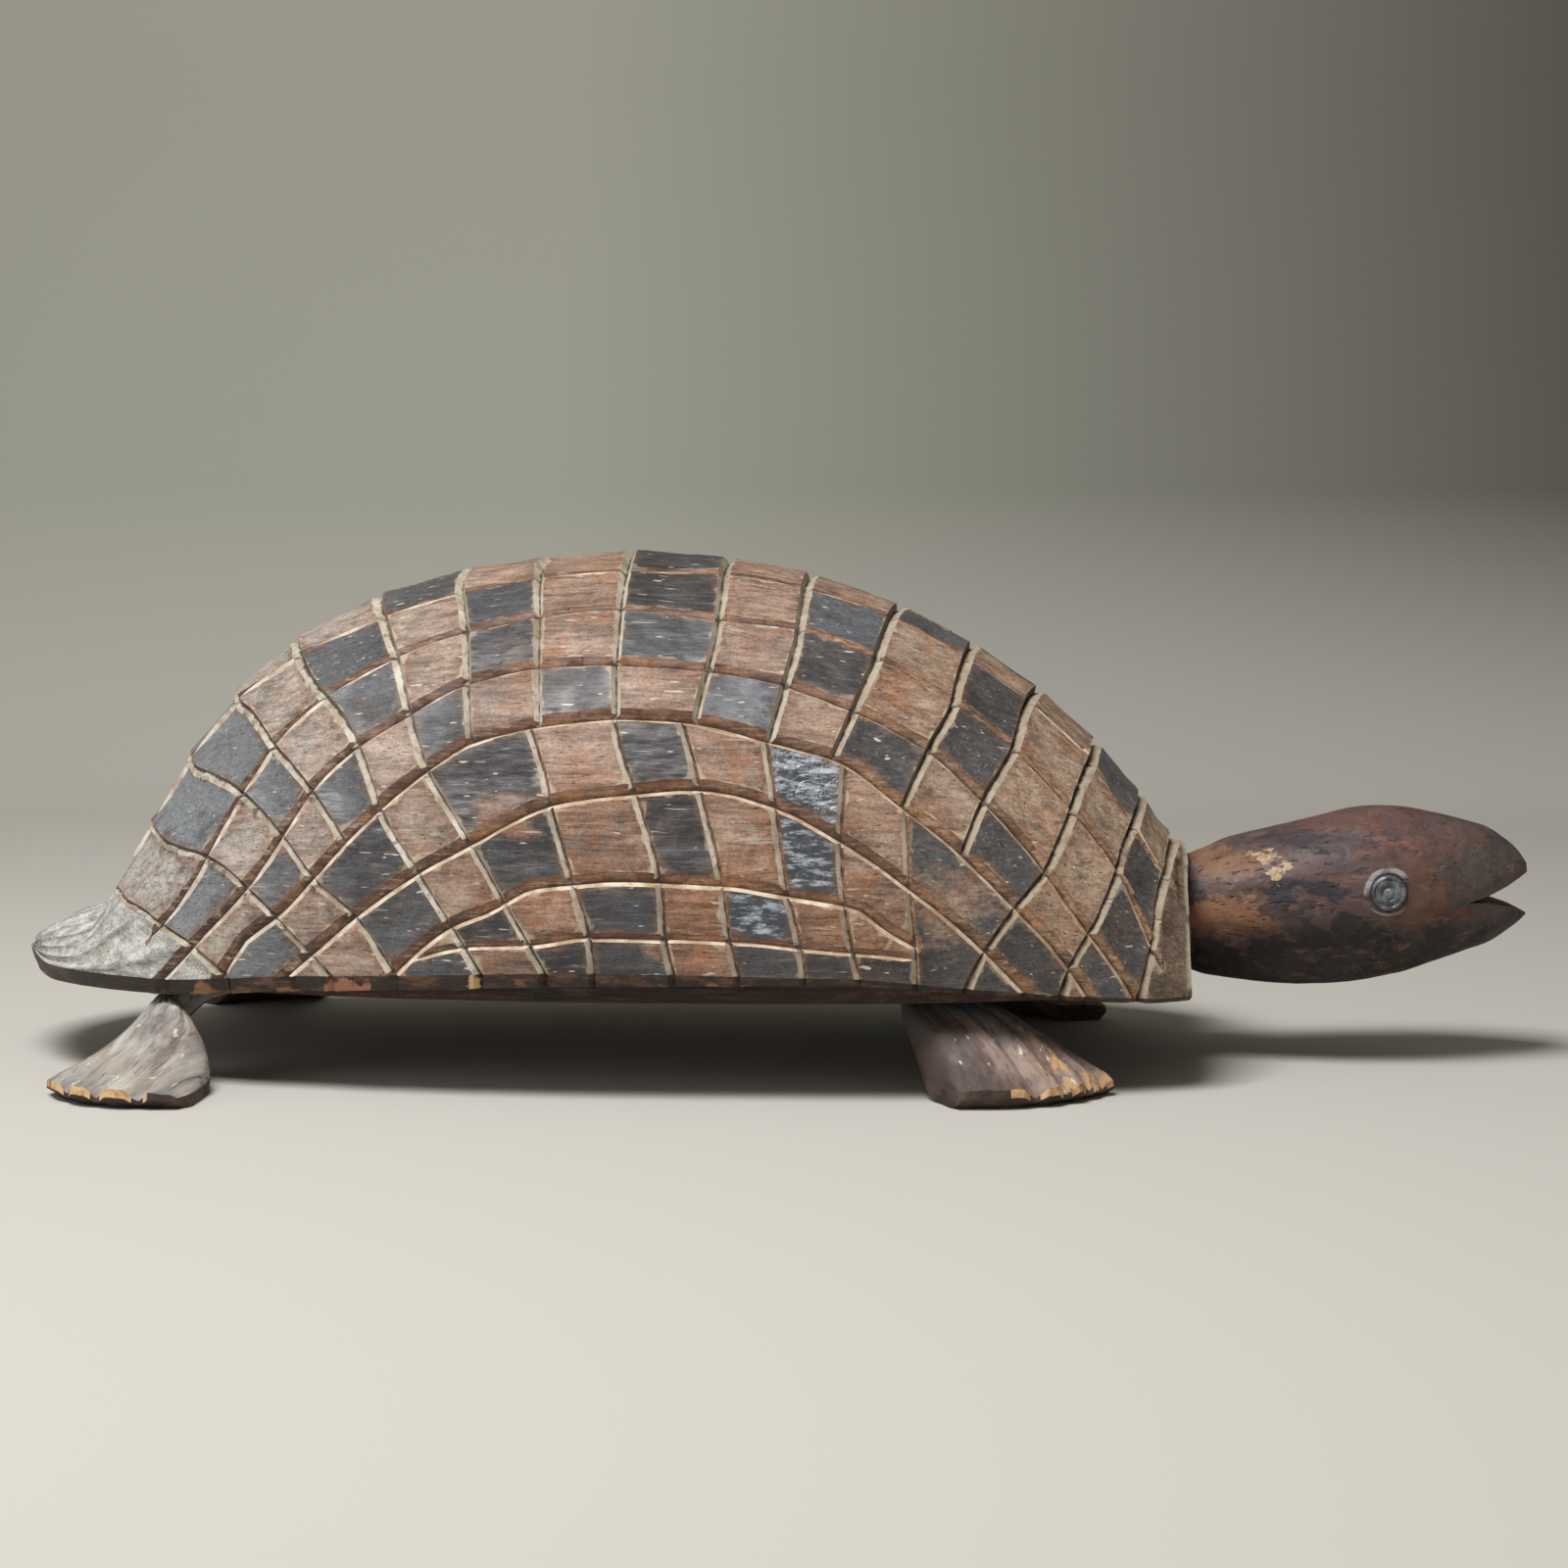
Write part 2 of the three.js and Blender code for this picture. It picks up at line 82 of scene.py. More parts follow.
# ---- Long grooves on one side: [station, degrees down from the crest] ----
ARCS = [
    [[50, 31], [70, 26], [97, 23], [134, 22], [182, 19], [211, 17], [248, 16], [284, 14], [349, 13],
     [378, 15], [405, 17], [428, 20], [445, 32], [463, 44]],
    [[66, 80], [84, 70], [97, 60], [115, 47], [135, 40], [162, 35], [188, 32], [217, 30], [250, 29],
     [287, 30], [317, 29], [347, 31], [377, 34], [399, 38], [424, 46], [440, 54], [453, 72], [457, 80]],
    [[72, 91], [87, 83], [109, 74], [122, 66], [133, 59], [149, 53], [167, 49], [191, 44], [219, 42],
     [253, 42], [283, 42], [313, 43], [339, 45], [367, 48], [388, 54], [406, 61], [428, 74], [439, 82],
     [448, 93]],
    [[97, 92], [107, 84], [121, 80], [136, 74], [148, 69], [162, 64], [179, 59], [195, 55], [221, 53],
     [254, 52], [277, 52], [308, 54], [332, 55], [360, 61], [380, 66], [402, 74], [417, 81], [432, 93]],
    [[120, 92], [137, 86], [153, 81], [177, 75], [197, 71], [227, 66], [259, 64], [285, 63], [313, 65],
     [337, 69], [364, 75], [390, 83], [409, 92]],
    [[164, 91], [190, 83], [205, 81], [222, 78], [257, 77], [293, 77], [316, 78], [341, 79], [353, 82],
     [364, 84]],
    [[172, 88], [198, 86], [220, 86], [242, 85], [295, 85], [341, 86], [364, 86]],
]
ARC_STYLE = [  # width of the upper wall, width of the lower lip, depth
    [1.6, 1.0, 0.9], [3.0, 1.4, 1.9], [3.7, 1.6, 2.4], [4.1, 1.7, 2.6], [4.1, 1.7, 2.6], [3.8, 1.6, 2.5],
    [2.3, 1.2, 1.7],
]
SPOKE_STYLE = (2.3, 1.9, 3.1)  # width of the tail wall, width of the head wall, depth
LOWER_STYLE = (2.1, 1.0, 1.9)

# ---- Cross grooves: [degrees down from the crest, station] ----
SPOKES = [
    [[0, 34], [30, 42], [58, 53], [69, 63], [78, 76], [83, 87], [93, 108]],
    [[0, 49], [30, 58], [50, 68], [58, 77], [66, 93], [74, 109], [80, 121], [93, 150]],
    [[0, 65], [33, 77], [45, 89], [54, 103], [66, 122], [74, 135], [81, 153], [93, 173]],
    [[0, 84], [25, 94], [34, 102], [47, 115], [59, 133], [69, 148]],
    [[0, 108], [20, 117], [33, 126], [51, 149], [65, 162], [75, 177], [83, 190], [93, 206]],
    [[0, 143], [15, 149], [36, 162], [58, 178], [71, 197], [79, 209], [86, 220], [93, 230]],
    [[0, 180], [16, 182], [31, 188], [55, 195]],
    [[0, 212], [15, 213], [34, 217], [53, 221]],
    [[0, 246], [12, 247], [29, 248], [52, 250]],
    [[0, 285], [30, 286], [52, 280]],
    [[0, 318], [29, 317], [43, 313], [54, 308]],
    [[0, 354], [31, 347], [45, 339], [55, 332]],
    [[0, 383], [33, 377], [48, 368], [60, 359]],
    [[0, 409], [38, 400], [54, 389], [66, 381]],
    [[0, 432], [15, 431], [47, 422], [63, 413], [73, 402], [83, 390], [93, 380]],
    [[0, 451], [21, 449], [54, 440], [68, 434], [85, 421], [93, 417]],
    [[0, 463], [22, 461], [56, 456], [72, 453], [84, 450], [93, 447]],
]
LOWER_SPOKES = [
    [[53, 217], [61, 224], [66, 227], [77, 236], [86, 243], [93, 245]],
    [[52, 249], [58, 253], [64, 259], [77, 269], [85, 271], [93, 276]],
    [[52, 275], [63, 283], [77, 292], [85, 295], [93, 301]],
    [[54, 307], [64, 311], [77, 316], [85, 321], [93, 324]],
    [[56, 337], [69, 336], [79, 338], [86, 341], [93, 346]],
    [[61, 360], [74, 362], [84, 364], [93, 365]],
]
FULL_SPOKES = [0, 1, 2, 4, 5, 14, 15, 16]  # the upper spokes that run on down to the rim

# ---- Stains from tail to head, one letter a cell: D dark, B brown, G dark and glossy ----
UPPER_STAINS = ["DBDBBDBBDBBDBBDB", "BDDBDBDBDBDBDBBD", "DBDBDBDBDBDBDBBD", "BDBDBDBDBDBDBDBD"]
LOWER_STAINS = ["DBDBDBDBGBDDB", "BBDBDBDBGBDDB", "BBBDBDBGBBBDB", "BBDBDDBDDDBDB"]


def curves(rows):
    """A smooth curve for each column of a table after the first one, which holds the stations."""
    return [smooth([[row[0], row[k]] for row in rows]) for k in range(1, len(rows[0]))]


def smooth(points):
    """A smooth curve through [x, value] points that never overshoots them."""
    x, y = np.array(points, float).T
    slope = np.diff(y) / np.diff(x)
    before = np.concatenate([slope[:1], slope])
    after = np.concatenate([slope, slope[-1:]])
    rising = before * after > 0
    tangent = np.where(rising, 2 * before * after / np.where(rising, before + after, 1), 0)

    def value(at):
        at = np.clip(at, x[0], x[-1])
        i = np.clip(np.searchsorted(x, at, side="right") - 1, 0, len(x) - 2)
        width = x[i + 1] - x[i]
        t = (at - x[i]) / width
        ends = y[i] * (1 + 2 * t) * (1 - t) ** 2 + y[i + 1] * t * t * (3 - 2 * t)
        return ends + width * (tangent[i] * t * (1 - t) ** 2 - tangent[i + 1] * t * t * (1 - t))
    return value


crest = smooth(CREST)
rim_bottom = smooth(RIM_BOTTOM)
half_width = smooth(HALF_WIDTH)
rim_edge = smooth(RIM_EDGE)


def rim_base(station):
    foot = rim_bottom(station)
    return foot + np.minimum(rim_edge(station), (crest(station) - foot) * 0.6)


def dome(station, angle):
    """Points of the smooth shell. The angle is in degrees down from the crest, and positive on the right."""
    a = np.radians(angle)
    base = rim_base(station)
    y = -half_width(station) * np.sin(a)
    z = base + (crest(station) - base) * np.cos(a)
    return np.stack([TAIL_X + station, y, z], -1)


# The shell is unrolled to (u, v): u grows along it like the steeper of its outlines, and v with the angle.
STATIONS = np.linspace(0, SHELL_LENGTH, 4 * SHELL_LENGTH + 1)
climb, flare = (np.abs(np.gradient(outline(STATIONS), STATIONS)) for outline in (crest, half_width))
steepness = np.maximum(climb, 0.8 * flare)
U_AT = np.concatenate([[0], np.cumsum(np.hypot(1, steepness)[1:] * np.diff(STATIONS))])
U_END = U_AT[-1]
V_END = RIM_ANGLE * ANGLE_MM


def unroll(station, angle):
    return np.stack([np.interp(station, STATIONS, U_AT), np.asarray(angle) * ANGLE_MM], -1)


def roll(uv):
    """(station, angle) of unrolled points."""
    return np.interp(uv[..., 0], U_AT, STATIONS), uv[..., 1] / ANGLE_MM


def on_dome(uv):
    return dome(*roll(uv))


def slopes(uv, step=0.5):
    """How the shell's points move with u and with v."""
    du = np.array([step, 0])
    dv = np.array([0, step])
    low = np.array([0, -V_END - PAST_RIM])
    high = np.array([U_END, V_END + PAST_RIM])
    ahead, behind = np.clip(uv + du, low, high), np.clip(uv - du, low, high)
    along = (on_dome(ahead) - on_dome(behind)) / (ahead - behind)[..., :1]
    down = (on_dome(uv + dv) - on_dome(uv - dv)) / (2 * step)
    return along, down


def unit(vectors):
    return vectors / np.maximum(np.linalg.norm(vectors, axis=-1, keepdims=True), 1e-9)


def outward(uv):
    along, down = slopes(uv)
    return unit(np.cross(down, along))


def wobble(points, size, seed=0.0):
    """Smooth noise from -1 to 1 at each point, with bumps of about that size."""
    shift = Vector((seed * 7.3, seed * 3.1, seed * 5.7))
    return np.array([noise.noise(Vector(p) / size + shift) for p in points])


def on_line(distances):
    """Points of a straight line, for a wobble that changes along it."""
    return np.stack([distances, 0 * distances, 0 * distances], -1)


# ---- Grooves ----
class Groove:
    """A V-shaped cut along a line of the shell. An arc runs along the shell, and a spoke across it.

    The plus side faces the crest on an arc and the tail on a spoke.
    """

    def __init__(self, kind, stations, angles, plus, minus, depth, fade=(0, 0)):
        uv = unroll(np.array(stations), np.array(angles))
        lengths = np.concatenate([[0], np.cumsum(np.linalg.norm(np.diff(on_dome(uv), axis=0), axis=1))])
        count = max(int(lengths[-1] / LINE_STEP), 3)
        spaced = np.linspace(0, lengths[-1], count)
        uv = np.stack([np.interp(spaced, lengths, uv[:, k]) for k in (0, 1)], -1)
        self.kind = kind
        seed = dice.random() * 90
        line = on_line(spaced)
        shake = wobble(line, 26, seed) * 0.4 + wobble(line, 7, seed) * 0.1
        tangent = unit(np.gradient(on_dome(uv), axis=0))
        across = unit(np.cross(outward(uv), tangent))
        towards = np.sign(across[:, 2] + 1e-6) if kind == "arc" else np.sign(-across[:, 0])
        self.across = across * towards[:, None]
        self.uv = uv + self.shift(uv, self.across * shake[:, None])
        self.points = on_dome(self.uv)

        def rag(more, size):
            return 1 + size * (wobble(line, 14, seed + more) + 0.5 * wobble(line, 4, seed + more))

        ends = np.ones(count)
        for fade_length, distance in zip(fade, (spaced, lengths[-1] - spaced)):
            if fade_length:
                ends = np.minimum(ends, np.clip(0.25 + 0.75 * distance / fade_length, 0.25, 1))
        self.plus = plus * ends * rag(11, 0.14)
        self.minus = minus * ends * rag(23, 0.14)
        self.depth = depth * ends * rag(37, 0.12)

    def edges(self):
        """The lines where the plus and the minus wall meet the cells, in (u, v)."""
        return (self.uv + self.shift(self.uv, self.across * self.plus[:, None]),
                self.uv - self.shift(self.uv, self.across * self.minus[:, None]))

    @staticmethod
    def shift(uv, move):
        """The change of (u, v) that moves a point of the shell by a small vector."""
        along, down = slopes(uv)
        aa, dd, ad = (np.sum(p * q, -1) for p, q in ((along, along), (down, down), (along, down)))
        am, dm = np.sum(along * move, -1), np.sum(down * move, -1)
        det = np.maximum(aa * dd - ad * ad, 1e-6)
        return np.stack([(am * dd - dm * ad) / det, (dm * aa - am * ad) / det], -1)

    def cut(self, uv, points):
        """Depth of the cut at each point, its side (1 for plus, -1 for minus) and its nearness.

        The nearness grows from 0 on the open cell to 1 on the groove's edge and 2 on its bottom.
        """
        depth, side, near = np.zeros(len(points)), np.zeros(len(points)), np.zeros(len(points))
        pad = 12
        index = np.flatnonzero(np.all((uv > self.uv.min(0) - pad) & (uv < self.uv.max(0) + pad), axis=1))
        if not len(index):
            return depth, side, near
        p = points[index]
        gaps = (p * p).sum(1)[:, None] - 2 * p @ self.points.T + (self.points ** 2).sum(1)
        nearest = gaps.argmin(1)
        best = np.full(len(p), FAR)
        for step in (-1, 0):
            k = np.clip(nearest + step, 0, len(self.points) - 2)
            ab = self.points[k + 1] - self.points[k]
            t = np.clip(((p - self.points[k]) * ab).sum(1) / (ab * ab).sum(1), 0, 1)
            gap = p - self.points[k] - t[:, None] * ab
            away = np.linalg.norm(gap, axis=1)
            plus_side = (gap * (self.across[k] + self.across[k + 1])).sum(1) >= 0
            rows = (self.plus, self.minus, self.depth)
            plus, minus, deep = (row[k] + t * (row[k + 1] - row[k]) for row in rows)
            width = np.where(plus_side, plus, minus)
            d = deep * np.clip(1 - away / width, 0, 1)
            close = np.where(away < width, 2 - away / width, np.clip(1 - (away - width) / EDGE_REACH, 0, 1))
            closer = away < best
            near[index] = np.where(closer, close, near[index])
            best = np.where(closer, away, best)
            depth[index] = np.where(closer, d, depth[index])
            side[index] = np.where(closer, np.where(plus_side, 1, -1), side[index])
        return depth, side, near


def sampled(table, start, end, count=60):
    """Evenly spaced arguments and the smooth curve's values there."""
    x = np.linspace(start, end, count)
    return x, smooth(table)(x)


def make_grooves():
    cuts = []
    for side in (1, -1):
        for k, (table, (plus, minus, depth)) in enumerate(zip(ARCS, ARC_STYLE)):
            stations, angles = sampled(table, table[0][0], table[-1][0])
            if side < 0:
                angles = angles + wobble(on_line(stations), 60, k + 3) * 1.2
            fade = (9, 4) if k in (0, 1, 6) else (0, 0)
            cuts.append(Groove("arc", stations, side * angles, plus, minus, depth, fade))
        for table in LOWER_SPOKES:
            angles, stations = sampled(table, table[0][0], table[-1][0], 30)
            cuts.append(Groove("lower", stations, side * angles, *LOWER_STYLE))
    for k, table in enumerate(SPOKES):
        angles, stations = sampled(table, 0, table[-1][0], 50)
        both = np.concatenate([-angles[:0:-1], angles])
        where = np.concatenate([stations[:0:-1], stations])
        where = where + np.where(both < 0, wobble(on_line(both), 25, k + 1) * 2.2, 0)
        wide = 1.0 if k in FULL_SPOKES else 0.92
        plus, minus, depth = SPOKE_STYLE
        cut = Groove("spoke", where, both, plus * wide, minus * wide, depth)
        taper = np.interp(np.abs(cut.uv[:, 1]) / ANGLE_MM, [0, 25, 60, 84, 93], [1.2, 1.0, 0.8, 0.68, 1.0])
        taper = taper * np.interp(roll(cut.uv)[0], [45, 100, 240, 330], [0.72, 1, 1, 1.2])
        lean = np.clip((245 - roll(cut.uv)[0]) / 110, -1, 1) * 0.42
        cut.plus *= taper * (1 + lean)
        cut.minus *= taper * (1 - lean)
        cut.depth *= np.clip(taper, 0.7, 1.2)
        cuts.append(cut)
    return cuts


# ---- Cells ----
def beyond(table, x, at_end):
    """A curve's value, or at_end outside the curve's range."""
    value = smooth(table)(x)
    inside = (x >= table[0][0]) & (x <= table[-1][0])
    return np.where(inside, value, at_end)


LOWER_SET = [SPOKES[k] for k in FULL_SPOKES[:5]] + LOWER_SPOKES + [SPOKES[k] for k in FULL_SPOKES[5:]]
UPPER_BANDS = len(UPPER_STAINS)
BELOW_RIM = 99
ARC_ENDS = [24] + [BELOW_RIM] * (len(ARCS) - 1)  # the angle that each arc counts with beyond its ends


def cell_of(station, angle):
    """(band, column) of each point: the grooves between it and the crest, and between it and the tail."""
    down = np.abs(angle)
    band = sum((beyond(arc, station, end) < down).astype(int) for arc, end in zip(ARCS, ARC_ENDS))
    upper = sum((smooth(spoke)(down) < station).astype(int) for spoke in SPOKES)
    lower = sum((smooth(spoke)(down) < station).astype(int) for spoke in LOWER_SET)
    return band, np.where(band < UPPER_BANDS, upper, lower)


def flatness(station, angle, band):
    """How far each point of a cell lies below the smooth dome, because every cell is cut nearly flat."""
    down = np.abs(angle)
    drop = np.zeros(len(station))
    for rows, chosen in ((SPOKES, band < UPPER_BANDS), (LOWER_SET, band >= UPPER_BANDS)):
        lines = np.stack([smooth(spoke)(down) for spoke in rows])
        before = np.where(lines <= station, lines, -FAR).max(0)
        after = np.where(lines > station, lines, FAR).min(0)
        whole = (before > -FAR) & (after < FAR) & chosen
        share = np.where(whole, (station - before) / np.where(whole, after - before, 1), 0)
        bulge = np.interp(station, [40, 70, 110, 160, 300, 400, 460], [0.5, 1.3, 1.3, 0.8, 0.5, 0.8, 1.2])
        drop += np.where(whole, 4 * share * (1 - share) * bulge, 0)
        step = np.interp(station, [20, 35, 130, 190], [1.2, 1.9, 1.6, 0])
        drop += np.where(whole, share * np.clip((1 - share) / 0.07, 0, 1) * step, 0)
    lines = np.stack([beyond(arc, station, BELOW_RIM) for arc in ARCS])
    before = np.where(lines <= down, lines, 0).max(0)
    after = np.minimum(np.where(lines > down, lines, FAR).min(0), RIM_ANGLE)
    share = np.clip((down - before) / np.maximum(after - before, 1), 0, 1)
    height = np.clip((after - before) * ANGLE_MM, 0, 45)
    return drop + np.where(band > 0, 4 * share * (1 - share) * height ** 2 / 1500, 0)


def stain_of(band, column, left):
    """D, B or G for one cell, T for the tail lip and F for the strip at the front edge."""
    row = UPPER_STAINS[band] if band < UPPER_BANDS else LOWER_STAINS[min(band - UPPER_BANDS, 3)]
    if column == 0:
        return "T"
    if column > len(row):
        return "F"
    if left:
        return "D" if (band + column) % 2 else "B"
    return row[column - 1]


BLUE_CELLS = [(2, 5), (3, 10)]  # (band, column) of the cells with the bluest stain
CELL_MATERIALS = {"B": 0, "D": 1, "G": 2, "T": 3, "F": 4}
ARC_WALL, ARC_LIP, TAIL_WALL, HEAD_WALL, RIM, FRONT, UNDER = 5, 6, 7, 8, 9, 10, 11
# A lower spoke's head-side wall takes the darker arc-wall brown as painted shade.
WALLS = {"arc": (ARC_WALL, ARC_LIP), "spoke": (TAIL_WALL, HEAD_WALL), "lower": (HEAD_WALL, ARC_WALL)}


def scattered(first, second, jitter):
    """The points of a grid, each moved a little at random."""
    for a in first:
        for b in second:
            yield (a + dice.uniform(-jitter, jitter), b + dice.uniform(-jitter, jitter))


def carve_shell():
    """The dome with every groove cut into it: points and triangles with their materials and attributes."""
    cuts = make_grooves()
    sites, edges = [], []

    def add_line(uv):
        keep = (uv[:, 0] > -4) & (uv[:, 0] < U_END + 4) & (np.abs(uv[:, 1]) < V_END + 8)
        first = len(sites)
        sites.extend(map(tuple, uv))
        for k in range(len(uv) - 1):
            if keep[k] and keep[k + 1]:
                edges.append((first + k, first + k + 1))

    for cut in cuts:
        for line in (cut.uv, *cut.edges()):
            add_line(line)
    rim_count = int(U_END / RIM_STEP)
    end_count = int(2 * V_END / END_STEP)
    for side in (1, -1):
        add_line(np.stack([np.linspace(0, U_END, rim_count), np.full(rim_count, side * V_END)], -1))
    for u in (0, U_END):
        add_line(np.stack([np.full(end_count, u), np.linspace(-V_END, V_END, end_count)], -1))

    tree = KDTree(len(sites))
    for k, (u, v) in enumerate(sites):
        tree.insert((u, v, 0), k)
    tree.balance()
    steps_u = np.arange(POINT_STEP, U_END - 1, POINT_STEP)
    steps_v = np.arange(-V_END + POINT_STEP, V_END - 1, POINT_STEP)
    for spot in scattered(steps_u, steps_v, 1):
        if tree.find((*spot, 0))[2] > LINE_GAP:
            sites.append(spot)

    flat, _, faces, _, _, _ = delaunay_2d_cdt([Vector(s) for s in sites], edges, [], 0, 1e-4)
    uv = np.array([(p.x, p.y) for p in flat])
    faces = np.array([f for f in faces if len(f) == 3])
    middle = uv[faces].mean(1)
    inside = (middle[:, 0] > 0) & (middle[:, 0] < U_END) & (np.abs(middle[:, 1]) < V_END)
    faces, middle = faces[inside], middle[inside]
    used, faces = np.unique(faces, return_inverse=True)
    faces = faces.reshape(-1, 3)
    uv = uv[used]

    plain = on_dome(uv)
    normal = outward(uv)
    depth = np.zeros(len(uv))
    edge = np.zeros(len(uv))
    for cut in cuts:
        d, _, near = cut.cut(uv, plain)
        depth = np.maximum(depth, d)
        edge = np.maximum(edge, near)
    station, angle = roll(uv)
    band, column = cell_of(station, angle)
    on_cell = np.clip(1 - depth / 0.4, 0, 1)
    relief = wobble(plain, 34, 2) * 0.45 + wobble(plain / [3, 1, 1], 5, 5) * 0.16
    relief += (tilt_of(band, column, station, angle) - flatness(station, angle, band)) * on_cell
    relief += tail_flutes(station, angle) * on_cell
    points = plain + normal * (relief - depth)[:, None]

    kinds = np.zeros(len(faces), int)
    tone = np.zeros(len(faces))
    centre = on_dome(middle)
    deepest = np.full(len(faces), 0.02)
    mid_station, mid_angle = roll(middle)
    band, column = cell_of(mid_station, mid_angle)
    for k in range(len(faces)):
        left = mid_angle[k] < 0
        kinds[k] = CELL_MATERIALS[stain_of(band[k], column[k], left)]
        tone[k] = cell_tone(band[k], column[k], left)
    tone = np.where(kinds == CELL_MATERIALS["T"], flute_hollow(mid_station, mid_angle), tone)
    for cut in cuts:
        d, side, _ = cut.cut(middle, centre)
        won = d > deepest
        deepest = np.where(won, d, deepest)
        plus_wall, minus_wall = WALLS[cut.kind]
        kinds = np.where(won, np.where(side > 0, plus_wall, minus_wall), kinds)
    return uv, points, normal, faces, kinds, tone, edge


def cell_tone(band, column, left):
    if (band, column) in BLUE_CELLS:
        return 1.0
    return random.Random(int(band) * 101 + int(column) * 7 + (5000 if left else 0)).random()


def tilt_of(band, column, station, angle):
    """A small lean and height of each cell, as hand cuts leave them."""
    lean = np.zeros(len(station))
    keys = {}
    for k in range(len(station)):
        left = angle[k] < 0
        key = (band[k], column[k], left)
        if key not in keys:
            rng = random.Random(int(band[k]) * 31 + int(column[k]) * 17 + (900 if left else 0))
            keys[key] = (rng.uniform(-0.35, 0.35), rng.uniform(-0.02, 0.02), rng.uniform(-0.03, 0.03))
        lift, along, down = keys[key]
        lean[k] = lift + along * ((station[k] % 34) - 17) + down * ((abs(angle[k]) % 12) - 6)
    return lean


def flute_hollow(station, angle):
    """0 on the ridges between the tail's gouge cuts and 1 in the middle of each cut."""
    across = (np.abs(angle) + 0.12 * station) / 15.5
    return 4 * (across % 1) * (1 - across % 1)


def tail_flutes(station, angle):
    """Gouge cuts with sharp ridges between them, which run along the tail lip."""
    hollow = flute_hollow(station, angle)
    lip = np.clip((smooth(SPOKES[0])(np.abs(angle)) - 3 - station) / 6, 0, 1)
    return (0.5 - 2.2 * hollow) * lip


# ---- Meshes ----
class Skin:
    """Collects the faces of several patches; patches that share exact edge points are welded."""

    def __init__(self):
        self.points = []
        self.faces = []
        self.kinds = []
        self.tones = []
        self.edges = []

    def add(self, points, faces, kind, tone=0.5, edge=0.0):
        first = len(self.points)
        self.points.extend(map(tuple, points))
        self.faces.extend([tuple(int(i) + first for i in f) for f in faces])
        count = len(faces)
        self.kinds.extend(np.broadcast_to(kind, count).tolist())
        self.tones.extend(np.broadcast_to(tone, count).tolist())
        self.edges.extend(np.broadcast_to(edge, len(points)).tolist())

    def strip(self, upper, lower, kind, closed=False, tone=0.5):
        """Quads between two rows with as many points each."""
        count = len(upper)
        last = count if closed else count - 1
        faces = [(k, (k + 1) % count, count + (k + 1) % count, count + k) for k in range(last)]
        self.add([*upper, *lower], faces, kind, tone)

    def fan(self, ring, hub, kind):
        """Triangles from a ring to one point."""
        count = len(ring)
        self.add([*ring, hub], [(k, (k + 1) % count, count) for k in range(count)], kind)

    def solid(self, rings, hubs, kind=0):
        """A closed body through rings, with an end from its first and last ring to each hub."""
        for ring, after in zip(rings, rings[1:]):
            self.strip(ring, after, kind, closed=True)
        for ring, hub in zip((rings[0], rings[-1]), hubs):
            self.fan(ring, hub, kind)

    def plate(self, loops, inner_points, keep, lift, kind):
        """A patch between closed loops of 3-D points. lift lays points flat and raises flat ones again."""
        flat, edges, solid = [], [], []
        for loop in loops:
            first = len(flat)
            flat.extend(lift.flat(p) for p in loop)
            solid.extend(loop)
            edges.extend((first + k, first + (k + 1) % len(loop)) for k in range(len(loop)))
        flat.extend(inner_points)
        solid.extend(lift.solid(p) for p in inner_points)
        out, _, faces, origin, _, _ = delaunay_2d_cdt([Vector(p) for p in flat], edges, [], 0, 1e-5)
        points = [solid[o[0]] if o else lift.solid(p) for p, o in zip(out, origin)]
        mids = [sum((out[i] for i in f), Vector((0, 0))) / len(f) for f in faces]
        self.add(points, [f for f, m in zip(faces, mids) if keep(m)], kind)

    def build(self, name, materials, sharp_degrees=28):
        points = np.array(self.points)
        _, first, back = np.unique(np.round(points, 4), axis=0, return_index=True, return_inverse=True)
        back = back.ravel()
        faces, kept = [], []
        for k, face in enumerate(self.faces):
            ring = [int(back[i]) for i in face]
            ring = [p for j, p in enumerate(ring) if p != ring[j - 1]]
            if len(ring) >= 3:
                faces.append(ring)
                kept.append(k)
        mesh = bpy.data.meshes.new(name)
        mesh.from_pydata((points[first] * MM).tolist(), [], faces)
        for material in materials:
            mesh.materials.append(material)
        mesh.polygons.foreach_set("material_index", [self.kinds[k] for k in kept])
        tones = [self.tones[k] for k in kept]
        mesh.attributes.new("tone", "FLOAT", "FACE").data.foreach_set("value", tones)
        mesh.attributes.new("edge", "FLOAT", "POINT").data.foreach_set("value", np.array(self.edges)[first])
        finish_mesh(mesh, sharp_degrees)
        return place(name, mesh)


def finish_mesh(mesh, sharp_degrees):
    """Faces out, smooth shading, and crisp edges above an angle."""
    work = bmesh.new()
    work.from_mesh(mesh)
    loose = [v for v in work.verts if not v.link_faces]
    bmesh.ops.delete(work, geom=loose, context="VERTS")
    bmesh.ops.recalc_face_normals(work, faces=work.faces)
    work.to_mesh(mesh)
    work.free()
    mesh.shade_smooth()
    mesh.set_sharp_from_angle(angle=math.radians(sharp_degrees))


def place(name, mesh):
    piece = bpy.data.objects.new(name, mesh)
    bpy.context.scene.collection.objects.link(piece)
    return piece


# ---- Shader helper ----
def srgb(red, green, blue):
    """Linear colour from display values of 0 to 255."""
    def linear(value):
        value = value / 255
        return value / 12.92 if value <= 0.04045 else ((value + 0.055) / 1.055) ** 2.4
    return (linear(red), linear(green), linear(blue), 1)


